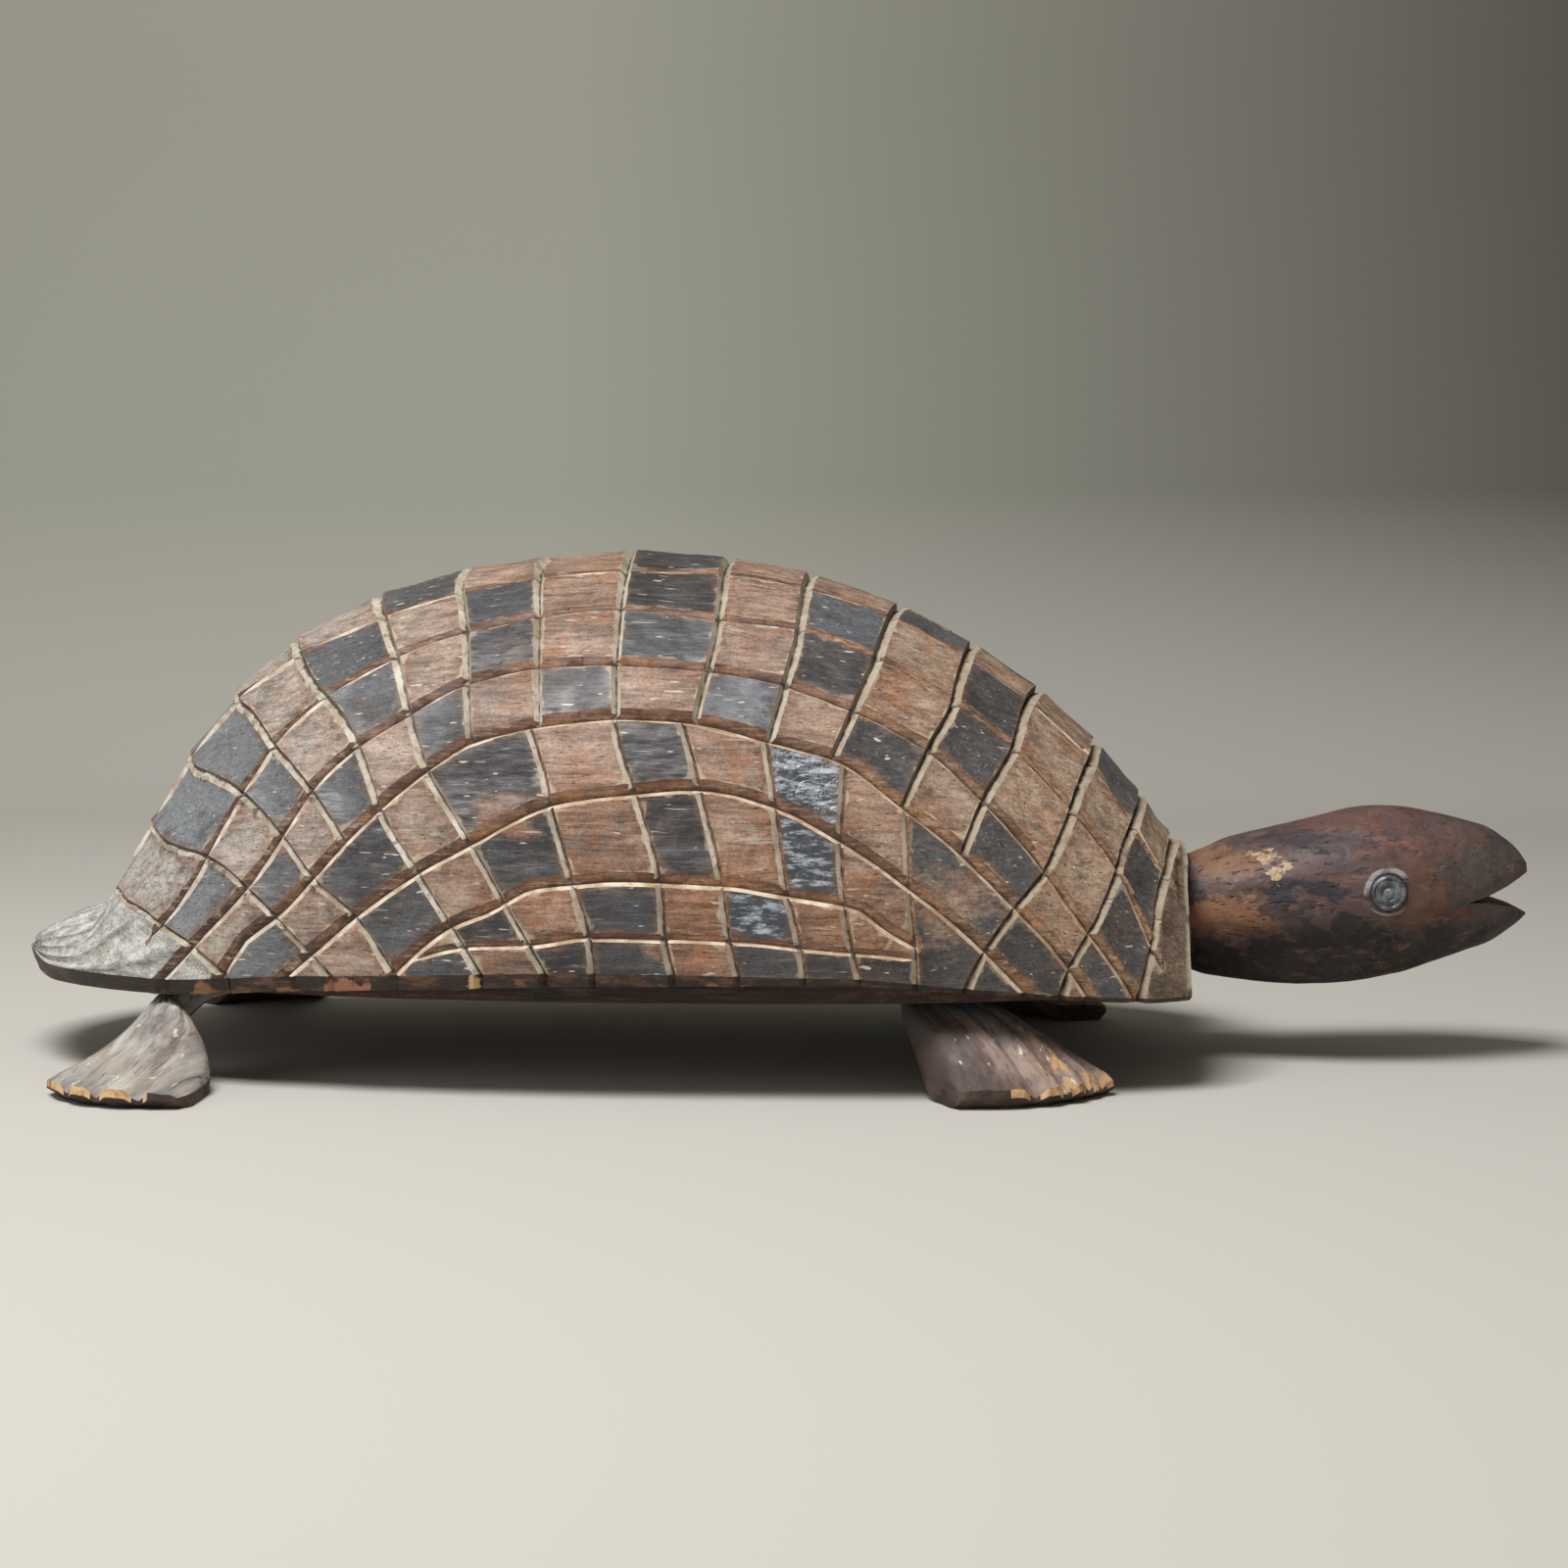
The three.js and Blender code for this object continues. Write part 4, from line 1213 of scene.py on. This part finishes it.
def make_pegs():
    """Each peg is whittled: an uneven round with a bevelled, slightly proud lower end.

    The pins of the legs lie inside the shell, so they keep their CAD shape and only take the wood.
    """
    peg_wood = make_peg_wood()
    for name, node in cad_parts.items():
        if "pin" in name:
            node.data.materials.clear()
            node.data.materials.append(peg_wood)
            continue
        if "peg" not in name:
            continue
        low, high = (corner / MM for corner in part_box(name))
        centre = (low + high) / 2
        radius = (high.x - low.x) / 2
        end_radius = radius * 0.97
        levels = [(low.z - 0.5, end_radius * 0.7), (low.z - 0.3, end_radius * 0.9), (low.z + 0.3, end_radius),
                  (high.z - 1, end_radius), (high.z, end_radius * 0.8)]
        turns = full_turn(20)
        seed = centre.x + centre.y
        rings = []
        for z, r in levels:
            cut = [r * (1 - 0.05 * abs(noise.noise(Vector((math.cos(t), math.sin(t), seed))))) for t in turns]
            rings.append([(c * math.cos(t), c * math.sin(t), z - centre.z) for t, c in zip(turns, cut)])
        skin = Skin()
        skin.solid(rings, [(0, 0, ring[0][2]) for ring in (rings[0], rings[-1])])
        peg = skin.build("visual_" + name, [peg_wood], 35)
        peg.location = centre * MM
        bpy.context.view_layer.update()
        dress(peg, [name])


# ---- Legs: rows along the paddle [reach, tail edge, head edge, top, bottom] ----
REAR_PADDLE = [[-12, 14, -13, 35.6, 33], [0, 15, -10, 35.6, 32], [15, 15.5, -3, 35.5, 30],
               [27, 16, 2, 34.5, 22], [36, 18, -9.5, 32, 13], [45, 20.5, -19, 27.5, 5],
               [54, 23.5, -23.5, 22.5, 1], [62, 27, -25.5, 18, 0], [74, 31, -28.5, 13, 0],
               [84, 33, -30, 9.6, 0], [90, 33, -29, 8, 0]]
FRONT_PADDLE = [[-12, 14, -14, 35.6, 32], [0, 24, -13, 35.6, 30], [12, 29, -8, 35.4, 25],
                [20, 31, -9.5, 35, 20], [28, 31.5, -15, 33, 12], [38, 31.5, -22, 28.5, 3],
                [48, 31, -28.5, 22, 0], [58, 31.5, -33.5, 15, 0], [64, 31.5, -36.5, 10.5, 0],
                [67, 31, -37, 8, 0]]
# Hip point on the left side, direction out, rows, bow of the toe edge, roundness, toe gaps and tenon.
LEG_FORMS = {
    "rear": ((-211, 54), (-0.333, 0.943), REAR_PADDLE, (16, 10), (2.6, 1.9), (0.47, -0.03, -0.55),
             (-210, 52)),
    "front": ((76, 56), (0.517, 0.857), FRONT_PADDLE, (11, 11), (4.6, 2.6), (0.18, -0.23, -0.56, -0.8),
              (76, 56)),
}
BARE_TOES = {"rear": (-0.68, 0.97), "front": (-0.98, 0.5)}  # the part of the toe edge with bare wood
LEG_TOP, LEG_CHIP, LEG_SOLE = 0, 1, 2
FLUTE_DEPTH = 4.2
TOE_BULGE = 1.2  # how far each toe stands out past the row's end
TOE_NOTCH = 2.2  # how far the gaps between the toes go back
TOE_UNDERCUT = 5.0


def paddle_rings(rows, bow, roundness, gaps, side, seed):
    """Closed sections of a paddle, with flutes that end between the toes.

    Its own axes are x out along it, y across it and z up.
    """
    outlines = curves(rows)
    reach_end = rows[-1][0]
    toes_from = reach_end * 0.7
    reaches = [*np.linspace(rows[0][0], toes_from, 26), *np.linspace(toes_from, reach_end, 22)[1:]]
    across = np.sin(np.linspace(-0.5, 0.5, 75) * math.pi)
    rings = []
    for reach in reaches:
        a, b, top, bottom = (float(outline(reach)) for outline in outlines)
        along = max(reach / reach_end, 0)
        middle, half = (a + b) / 2, (a - b) / 2
        sole = 0.12 + 0.5 * along ** 3
        power = np.where(across > 0, *roundness)
        arch = (1 - np.abs(across) ** power) ** (1 / power)
        upper = bottom + (top - bottom) * (sole + (1 - sole) * arch)
        spread = 0.07 + 0.07 * along
        lines = [gap * (0.75 + 0.25 * along) for gap in gaps]
        flute = sum(np.clip(1 - np.abs(across - line) / spread, 0, 1) ** 0.8 for line in lines)
        faint = np.abs(np.sin(across * 19 + seed)) ** 0.5
        upper = upper - flute * FLUTE_DEPTH * along ** 2.2 - 0.35 * (1 - faint) * (along > 0.1)
        toes = (TOE_NOTCH * flute - TOE_BULGE) * along ** 12
        push = np.where(across > 0, *bow) * along ** 2.5 * across ** 2 + toes
        out = reach - push
        y = middle + half * across
        line = [(o, side * w, z) for o, w, z in zip(out, y, upper)]
        undercut = TOE_UNDERCUT * along ** 8
        low = [(o - undercut, side * w * 0.99, bottom + 0.02) for o, w in zip(out, y)]
        rings.append(line + low[::-1])
    rings = np.array(rings)
    flat = rings.reshape(-1, 3)
    bump = wobble(flat, 11, seed) * 0.45 + wobble(flat * [0.35, 1, 1], 4, seed) * 0.22
    moved = flat.copy()
    moved[:, 2] += np.where(flat[:, 2] > 1, bump, 0)
    moved[:, 1] += bump * 0.7
    top_limit = rows[0][3] + 0.05
    moved[:, 2] = np.clip(moved[:, 2], 0.02, top_limit)
    return moved.reshape(rings.shape)


def section_places(count):
    """How far across the paddle each face of its upper side is, from -1 to 1."""
    return [math.sin((j + 0.5) / count * math.pi - math.pi / 2) for j in range(count)]


def make_leg(end, side_name, materials):
    hip, direction, rows, bow, roundness, gaps, tenon = LEG_FORMS[end]
    side = -1 if side_name == "right" else 1
    rings = paddle_rings(rows, bow, roundness, gaps, side, 3.0 if side < 0 else 8.0)
    count = rings.shape[1]
    half = count // 2
    places = section_places(half - 1)
    under = count - half + 1
    kind = [LEG_TOP] * (half - 1) + [LEG_SOLE] * under
    # The tone attribute runs from the head side to the tail side; the painted shade on the tail side reads it.
    tail_side = [0.5 + 0.5 * q for q in places] + [0.5] * under
    skin = Skin()
    for ring, after in zip(rings, rings[1:]):
        skin.strip(ring, after, kind, True, tail_side)
    close_toes(skin, rings[-1], side, gaps, BARE_TOES[end], places)
    skin.fan(rings[0], rings[0].mean(0), LEG_SOLE)
    leg = skin.build(f"{end}_{side_name}_leg", materials, 32)
    leg.location = Vector((hip[0], side * hip[1], 0)) * MM
    leg.rotation_euler = (0, 0, math.atan2(side * direction[1], direction[0]))
    bpy.context.view_layer.update()
    dress(leg, [f"leg_{end}_{side_name}"])
    make_leg_tenon(f"{end}_{side_name}_tenon", tenon[0], side * tenon[1], materials[LEG_TOP])


def close_toes(skin, last, side, gaps, bare, places):
    """The toe edge: a narrow upper face, bare where the toes are chipped, and a sole face below it."""
    half = len(last) // 2
    chip = []
    for q in places:
        near_gap = min(abs(q - gap) for gap in gaps)
        toe = near_gap > 0.07 and bare[0] < q < bare[1] and noise.noise(Vector((q * 3, side, 1))) > -0.35
        chip.append(LEG_CHIP if toe else LEG_SOLE)
    upper, lower = last[:half], last[half:][::-1]
    mid = upper * [1, 1, 0.6] + lower * [0, 0, 0.4]
    mid[:, 0] = upper[:, 0] + 0.3
    skin.strip(upper, mid, chip)
    skin.strip(mid, lower, LEG_SOLE)
    for j in (0, half - 1):
        skin.add([upper[j], mid[j], lower[j]], [(0, 1, 2)], LEG_SOLE)


def make_leg_tenon(name, x, y, wood):
    """The round tenon that goes up from the foot into the shell."""
    radius = 8
    turns = full_turn(24)
    levels = (33, 46, 58)
    rings = [[(x + radius * math.cos(t), y + radius * math.sin(t), z) for t in turns] for z in levels]
    post = Skin()
    post.solid(rings, [(x, y, levels[0]), (x, y, levels[-1])])
    stub = post.build(name, [wood], 35)
    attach(stub, "body")


# Pale, dark and warm stain, strength of the warm one, strength and end of the grey knee, strength of the toe
# wear and of the painted shade on the paddle's tail side.
LEG_LOOKS = {
    "front": ((178, 158, 146), (108, 98, 96), (160, 124, 110), 0.6, 0.9, 36, 0.85),
    "rear": ((196, 190, 180), (126, 122, 118), (150, 128, 112), 0.4, 0.3, 28, 0.0),
}


def make_leg_top(name, pale, dark, warm, warmth, knee, knee_end, toe_wear_and_side_shade):
    s = Shade(name, 0.66)
    streak = s.streaks(4, 16, 130, 100, 0.6)
    colour = s.mix(s.ramp(streak, 0.36, 0.64), srgb(*pale), srgb(*dark))
    colour = tint(s, s.patches(45, 4, 0.46, 0.6), warmth, colour, srgb(*warm))
    rag = s.patches(40, 4, 0.3, 0.7, -9 * MM, 9 * MM)
    upper_end = s.ramp(s.plus(s.axis("X"), rag), knee_end * MM, (knee_end - 9) * MM)
    colour = tint(s, upper_end, knee, colour, srgb(112, 122, 126))
    across = s.plus(s.attribute("tone"), s.patches(45, 4, 0.3, 0.7, -0.15, 0.15))
    # Painted shade on the paddle's tail side, which turns away from the light.
    colour = tint(s, s.ramp(across, 0.68, 0.9), toe_wear_and_side_shade, colour, srgb(62, 50, 46))
    soot = s.patches(65, 4, 0.54, 0.68, rough=0.7)
    colour = tint(s, soot, 0.5, colour, srgb(66, 62, 62))
    toe_end = s.ramp(s.plus(s.axis("X"), rag), 56 * MM, 59 * MM)
    bare = s.times(toe_end, s.patches(110, 4, 0.46, 0.52))
    bare = s.times(bare, s.ramp(across, 0.55, 0.45))
    colour = tint(s, bare, toe_wear_and_side_shade, colour, srgb(206, 162, 112))
    chips = s.ramp(s.streaks(3, 110, 260, 180, 0.6), 0.67, 0.69)
    colour = tint(s, chips, 0.9, colour, srgb(222, 214, 198))
    lines = s.streaks(2, 24, 620, 240)
    colour = s.mix(s.ramp(lines, 0.58, 0.68, 0, 0.6), colour, srgb(60, 52, 48))
    s.bump(s.streaks(4, 40, 500, 240), 0.8, 0.0007)
    return s.finish(colour)


def make_leg_chip():
    s = Shade("bare_chip", 0.7)
    colour = s.mix(s.patches(160, 3, 0.42, 0.6), srgb(226, 190, 140), srgb(176, 118, 72))
    s.bump(s.noise(500, 3), 0.8, 0.0006)
    return s.finish(colour)


def make_leg_sole():
    s = Shade("leg_sole", 0.75)
    colour = s.mix(s.patches(90, 4, 0.4, 0.62), srgb(52, 41, 36), srgb(92, 72, 60))
    s.bump(s.noise(300, 4), 0.7, 0.0006)
    return s.finish(colour)


def make_legs():
    tops = {end: make_leg_top(f"{end}_leg_wood", *look) for end, look in LEG_LOOKS.items()}
    ends = [make_leg_chip(), make_leg_sole()]
    for end, top in tops.items():
        for side_name in ("right", "left"):
            make_leg(end, side_name, [top, *ends])


# ---- Head: [station from the nose, centre height, half height, half width] ----
HEAD_RINGS = [[-134.5, 59, 23, 23], [-128, 59.4, 25.4, 24.8], [-117, 60.8, 28.6, 27.2],
              [-101, 62, 31.6, 30], [-84, 64, 33.6, 32], [-66, 66.7, 35.1, 32], [-50, 68.4, 33.6, 30],
              [-36, 69.7, 30, 26], [-25, 70.4, 26.7, 21.5], [-15, 70.6, 23.3, 16.5],
              [-8, 70.5, 18.8, 11.8], [-3, 70, 14.5, 8], [0, 69.2, 10.8, 5]]
MOUTH = [[-24.8, 65.8], [-17, 68], [-9, 71.4], [-2, 75.3], [6, 79.5], [6, 57], [-6, 62.4], [-17, 65.3]]
EYE_STATION = -57
EYE_Z = 71
EYE_RADIUS = 7
TENON_RADIUS = 14
TENON_LENGTH = 34
EYE_X = NOSE_X + EYE_STATION
head_z, head_half_z, head_half_y = curves(HEAD_RINGS)
eye_rise = (EYE_Z - float(head_z(EYE_STATION))) / float(head_half_z(EYE_STATION))
EYE_Y = float(head_half_y(EYE_STATION)) * math.sqrt(1 - eye_rise ** 2)


def prism(name, profile, width, material):
    """An upright slab across Y with a side-view profile, used only to cut with."""
    skin = Skin()
    sides = [[(x, y, z) for x, z in profile] for y in (-width, width)]
    skin.solid(sides, [np.mean(side, axis=0) for side in sides])
    return skin.build(name, [material])


def carve(piece, cutter):
    """Cuts the cutter out of the piece and removes the cutter."""
    cut = piece.modifiers.new("cut", "BOOLEAN")
    cut.operation = "DIFFERENCE"
    cut.solver = "EXACT"
    cut.material_mode = "TRANSFER"
    cut.object = cutter
    graph = bpy.context.evaluated_depsgraph_get()
    carved = bpy.data.meshes.new_from_object(piece.evaluated_get(graph), depsgraph=graph)
    piece.modifiers.clear()
    piece.data = carved
    bpy.data.objects.remove(cutter)


def lid_height(points):
    """How much the carved brow over each eye stands out, from 0 to 1."""
    away = np.hypot(points[:, 0] - EYE_X, points[:, 2] - EYE_Z)
    over = np.clip((points[:, 2] - EYE_Z + 1.5) / 4, 0, 1)
    return np.clip(1 - np.abs(away - EYE_RADIUS - 1.1) / 1.4, 0, 1) * over


def make_head():
    neck = HEAD_RINGS[0][0]
    stations = [neck]
    for end, count in ((-72, 42), (-44, 34), (-10, 26), (0, 14)):
        stations += [*np.linspace(stations[-1], end, count)[1:]]
    turns = np.linspace(0, 2 * math.pi, 109)[:-1]
    rings = []
    for station in stations:
        y = float(head_half_y(station)) * np.cos(turns)
        z = float(head_z(station)) + float(head_half_z(station)) * np.sin(turns)
        rings.append(np.stack([np.full(len(turns), NOSE_X + station), y, z], -1))
    rings = np.array(rings)
    centre = rings.mean(1, keepdims=True)
    flat = rings.reshape(-1, 3)
    out = unit((rings - centre).reshape(-1, 3) * [0, 1, 1])
    relief = wobble(flat * [0.7, 1, 1], 15, 6) * 0.5 + wobble(flat, 5, 9) * 0.12
    relief *= np.clip((NOSE_X - flat[:, 0]) / 12, 0.2, 1)
    relief *= np.clip((flat[:, 0] - NOSE_X - neck) / 6, 0, 1)
    rings = (flat + out * (relief - 0.3 + 0.8 * lid_height(flat))[:, None]).reshape(rings.shape)
    skin = Skin()
    for ring, after in zip(rings, rings[1:]):
        skin.strip(ring, after, 0, closed=True)
    skin.fan(rings[-1], rings[-1].mean(0) + [0.6, 0, 0], 0)
    neck_x = NOSE_X + neck
    tenon_end_x = neck_x - TENON_LENGTH
    shoulder = circle_across_x(TENON_RADIUS, neck_x, SOCKET_Z, len(turns))
    tenon_end = [(tenon_end_x, y, z) for _, y, z in shoulder]
    skin.strip(rings[0], shoulder, 0, closed=True)
    skin.strip(shoulder, tenon_end, 0, closed=True)
    skin.fan(tenon_end, (tenon_end_x, 0, SOCKET_Z), 0)
    mouth_wood = make_mouth_wood()
    head = skin.build("turtle_head", [make_head_wood(), mouth_wood], 34)
    carve(head, prism("mouth_cutter", [(NOSE_X + x, z) for x, z in MOUTH], 40, mouth_wood))
    finish_mesh(head.data, 34)
    dress(head, ["head"], "head")


def eye_socket_lines(s, colour):
    """A painted highlight on the brow over each eye, a thin pale line below it and dirt in the joint round it.
    """
    along = s.minus(s.axis("X"), EYE_X * MM)
    above = s.minus(s.axis("Z"), EYE_Z * MM)
    away = s.math("SQRT", s.plus(s.times(along, along), s.times(above, above)))
    away = s.plus(away, s.patches(130, 3, 0.3, 0.7, -0.5 * MM, 0.5 * MM))
    joint = s.ramp(away, (EYE_RADIUS + 1.2) * MM, (EYE_RADIUS + 0.2) * MM)
    colour = tint(s, joint, 0.8, colour, srgb(48, 40, 38))
    off_ring = s.math("ABSOLUTE", s.minus(away, (EYE_RADIUS + 1.7) * MM))
    ring = s.ramp(off_ring, 1.3 * MM, 0.6 * MM)
    # Painted highlight: a pale arc on the brow, strongest on its upper tail-side part.
    slant = s.minus(above, s.times(along, 0.45))
    brow = s.times(ring, s.ramp(slant, 2.2 * MM, 4.5 * MM))
    brow = s.times(brow, s.patches(240, 4, 0.36, 0.5, 0.35, 1))
    colour = tint(s, brow, 0.85, colour, srgb(178, 172, 166))
    low = s.times(s.ramp(off_ring, 0.7 * MM, 0.3 * MM), s.ramp(above, -5.5 * MM, -7.5 * MM))
    return tint(s, low, 0.7, colour, srgb(158, 150, 146))


# (Station from the nose, height, half length, half height, raggedness), colour and strength of each stain.
HEAD_STAINS = [
    [(-120, 59, 22, 11, 0.7), (152, 108, 76), 0.85], [(-124, 81, 14, 7, 0.7), (146, 104, 76), 0.8],
    [(-80, 97, 30, 4, 0.8), (120, 80, 68), 0.55], [(-62, 90, 15, 3.5, 0.8), (124, 80, 66), 0.6],
    [(-80, 90, 22, 3.5, 0.8), (66, 54, 60), 0.8], [(-72, 80, 14, 4, 0.8), (84, 68, 70), 0.7],
    [(-47, 65, 12, 11, 0.9), (114, 82, 60), 0.65], [(-54, 57, 11, 6, 0.9), (118, 84, 60), 0.7],
    [(-26, 61, 9, 3.4, 0.9), (128, 78, 60), 0.75], [(-82, 51, 21, 7, 0.6), (52, 38, 35), 0.85],
    [(-88, 71.5, 16, 4.6, 0.6), (50, 49, 55), 0.95], [(-95, 64, 12, 4.6, 0.7), (56, 50, 54), 0.85],
    [(-71, 55.5, 9.5, 7, 0.6), (44, 41, 47), 0.95], [(-132, 70, 5, 5, 0.6), (62, 62, 70), 0.8],
    [(-20, 80, 14, 8, 0.7), (88, 84, 78), 0.5],
]
BARE_CHIPS = [(-104, 83.5, 4.4, 2.2), (-100.5, 77.5, 2.8, 2.4), (-96, 81, 2.2, 1.4)]


def make_head_wood():
    s = Shade("head_wood", 0.5)
    s.shader.inputs["Specular IOR Level"].default_value = 0.35
    colour = s.mix(s.ramp(s.streaks(5, 26, 60, 60, 0.65), 0.38, 0.62), srgb(108, 80, 72), srgb(82, 68, 68))
    snout = s.ramp(s.axis("X"), (NOSE_X - 46) * MM, (NOSE_X - 14) * MM)
    colour = tint(s, snout, 0.6, colour, srgb(86, 78, 72))
    for (station, z, length, height, rough), stain, strength in HEAD_STAINS:
        mask = blob(s, (NOSE_X + station, 20, z), (length, 40, height), rough)
        colour = tint(s, mask, strength, colour, srgb(*stain))
    # Painted shade: faces that point downwards are darkened almost to black.
    up = s.node("ShaderNodeSeparateXYZ", Vector=s.node("ShaderNodeTexCoord").outputs["Normal"]).outputs["Z"]
    under = s.ramp(s.plus(up, s.patches(60, 4, 0.3, 0.7, -0.15, 0.15)), -0.05, -0.45)
    colour = tint(s, under, 0.95, colour, srgb(29, 22, 20))
    mottle = s.patches(120, 6, 0.5, 0.66, rough=0.75)
    colour = tint(s, mottle, 0.6, colour, srgb(52, 42, 42))
    haze = s.patches(55, 6, 0.5, 0.64, rough=0.72)
    colour = tint(s, haze, 0.5, colour, srgb(84, 71, 78))
    rub = s.ramp(s.streaks(5, 60, 140, 140, 0.7), 0.56, 0.68)
    colour = tint(s, rub, 0.4, colour, srgb(150, 112, 98))
    cracks = s.ramp(s.cracks(150, s.stretch(1, 1, 1.6, (0, 0.7, 0))), 0.03, 0.004)
    sparse = s.times(cracks, s.patches(35, 2, 0.48, 0.6))
    colour = tint(s, sparse, 0.22, colour, srgb(156, 134, 122))
    for station, z, length, height in BARE_CHIPS:
        spot = (NOSE_X + station, 20, z)
        mask = blob(s, spot, (length, 40, height), 1.2, 1, 0.09, s.stretch(170, 420, 320))
        bare = s.mix(s.patches(500, 3, 0.4, 0.6), srgb(206, 180, 146), srgb(160, 124, 94))
        colour = tint(s, mask, 0.9, colour, bare)
    colour = eye_socket_lines(s, colour)
    pits = s.streaks(2, 160, 520, 520, turn=(0, 0.5, 0))
    rear = s.ramp(s.axis("X"), (NOSE_X - 55) * MM, (NOSE_X - 90) * MM, 0.25, 1)
    colour = tint(s, s.times(s.ramp(pits, 0.63, 0.68), rear), 0.7, colour, srgb(40, 28, 25))
    relief = s.plus(s.times(s.streaks(2, 50, 80, 80), 4), s.noise(300, 4))
    s.bump(s.minus(relief, s.times(s.ramp(pits, 0.6, 0.7), 0.8)), 0.6, 0.0007)
    return s.finish(colour, s.patches(70, 4, 0.3, 0.7, 0.42, 0.68))


def make_mouth_wood():
    s = Shade("mouth_wood", 0.6)
    colour = s.mix(s.ramp(s.streaks(3, 80, 200, 200), 0.4, 0.6), srgb(124, 98, 80), srgb(84, 56, 46))
    s.bump(s.noise(300, 3), 0.5, 0.0006)
    return s.finish(colour)


EYE_PROFILE = [[0, -3.8], [6.9, -3.8], [6.9, 0.3], [6.4, 1.0], [5.7, 1.2], [5.2, 0.75], [4.5, 1.25],
               [3.2, 1.6], [2.7, 1.15], [2.2, 1.2], [1.6, 1.9], [0.7, 2.1], [0, 2.1]]


def make_eye_stain():
    s = Shade("eye_stain", 0.2)
    colour = s.mix(s.patches(260, 4, 0.42, 0.62), srgb(70, 72, 76), srgb(128, 132, 136))
    s.bump(s.noise(350, 3), 0.6, 0.0006)
    return s.finish(colour, s.ramp(s.noise(200), 0.35, 0.65, 0.14, 0.34))


def make_eyes():
    stain = make_eye_stain()
    turns = full_turn(40)
    for side, name in ((-1, "right"), (1, "left")):
        rings = []
        for radius, height in EYE_PROFILE[1:-1]:
            rings.append([(radius * math.cos(t), side * height, radius * math.sin(t)) for t in turns])
        skin = Skin()
        skin.solid(rings, [(0, side * EYE_PROFILE[k][1], 0) for k in (0, -1)])
        eye = skin.build(f"{name}_eye", [stain], 50)
        eye.location = Vector((EYE_X, side * EYE_Y, EYE_Z)) * MM
        bpy.context.view_layer.update()
        dress(eye, [f"eye_{name}"], "head")


# ---- Stage ----
def make_stage():
    """A pale floor that curves up into a grey backdrop, with painted shade that darkens the backdrop towards
    the right.
    """
    reach, back, bend, top = 7, 1.3, 0.5, 2.2
    profile = [(-reach, 0), (back - bend, 0)]
    turns = [math.pi / 2 * k / 12 for k in range(1, 13)]
    profile += [(back - bend + bend * math.sin(t), bend - bend * math.cos(t)) for t in turns] + [(back, top)]
    points = [(x, y, z) for x in (-reach, reach) for y, z in profile]
    count = len(profile)
    mesh = bpy.data.meshes.new("sweep")
    mesh.from_pydata(points, [], [(k, k + 1, count + k + 1, count + k) for k in range(count - 1)])
    mesh.shade_smooth()
    sweep = place("sweep", mesh)
    s = Shade("sweep_paint", 0.85)
    # Painted shade: the backdrop darkens from left to right.
    wall = s.mix(s.ramp(s.axis("X"), -0.25, 0.5), srgb(178, 178, 166), srgb(104, 102, 93))
    mesh.materials.append(s.finish(s.mix(s.ramp(s.axis("Z"), 0.01, 0.2), srgb(205, 201, 193), wall)))


def add_light(name, where, target, size, watts, colour=(1, 1, 1)):
    data = bpy.data.lights.new(name, "AREA")
    data.shape = "RECTANGLE"
    data.size, data.size_y = size
    data.energy = watts
    data.color = colour
    lamp = bpy.data.objects.new(name, data)
    lamp.location = where
    lamp.rotation_euler = (Vector(target) - Vector(where)).to_track_quat("-Z", "Y").to_euler()
    bpy.context.scene.collection.objects.link(lamp)


def make_lights():
    add_light("key", (-0.35, -0.7, 1.55), (0, 0, 0.08), (0.8, 0.6), 29)
    add_light("fill", (-1.5, -1.1, 0.6), (0, 0, 0.08), (1.0, 1.0), 4)
    world = bpy.data.worlds.new("studio")
    bpy.context.scene.world = world
    world.use_nodes = True
    background = world.node_tree.nodes["Background"]
    background.inputs["Color"].default_value = srgb(150, 148, 140)
    background.inputs["Strength"].default_value = 0.5


CAMERA_AZIMUTH = math.radians(4)
CAMERA_RISE = math.radians(6)
CAMERA_DISTANCE = 1450
CAMERA_TARGET = (5.5, 0, 108.85)
CAMERA_LENS = 82.64


def make_camera():
    back = Vector((math.sin(CAMERA_AZIMUTH) * math.cos(CAMERA_RISE),
                   -math.cos(CAMERA_AZIMUTH) * math.cos(CAMERA_RISE), math.sin(CAMERA_RISE)))
    data = bpy.data.cameras.new("camera")
    data.lens = CAMERA_LENS
    data.sensor_width = 36
    camera = bpy.data.objects.new("camera", data)
    camera.location = (Vector(CAMERA_TARGET) + back * CAMERA_DISTANCE) * MM
    camera.rotation_euler = (-back).to_track_quat("-Z", "Y").to_euler()
    bpy.context.scene.collection.objects.link(camera)
    bpy.context.scene.camera = camera


make_shell()
make_board()
make_pegs()
make_legs()
make_head()
make_eyes()
make_stage()
make_lights()
make_camera()
bpy.context.scene.view_settings.view_transform = "Standard"
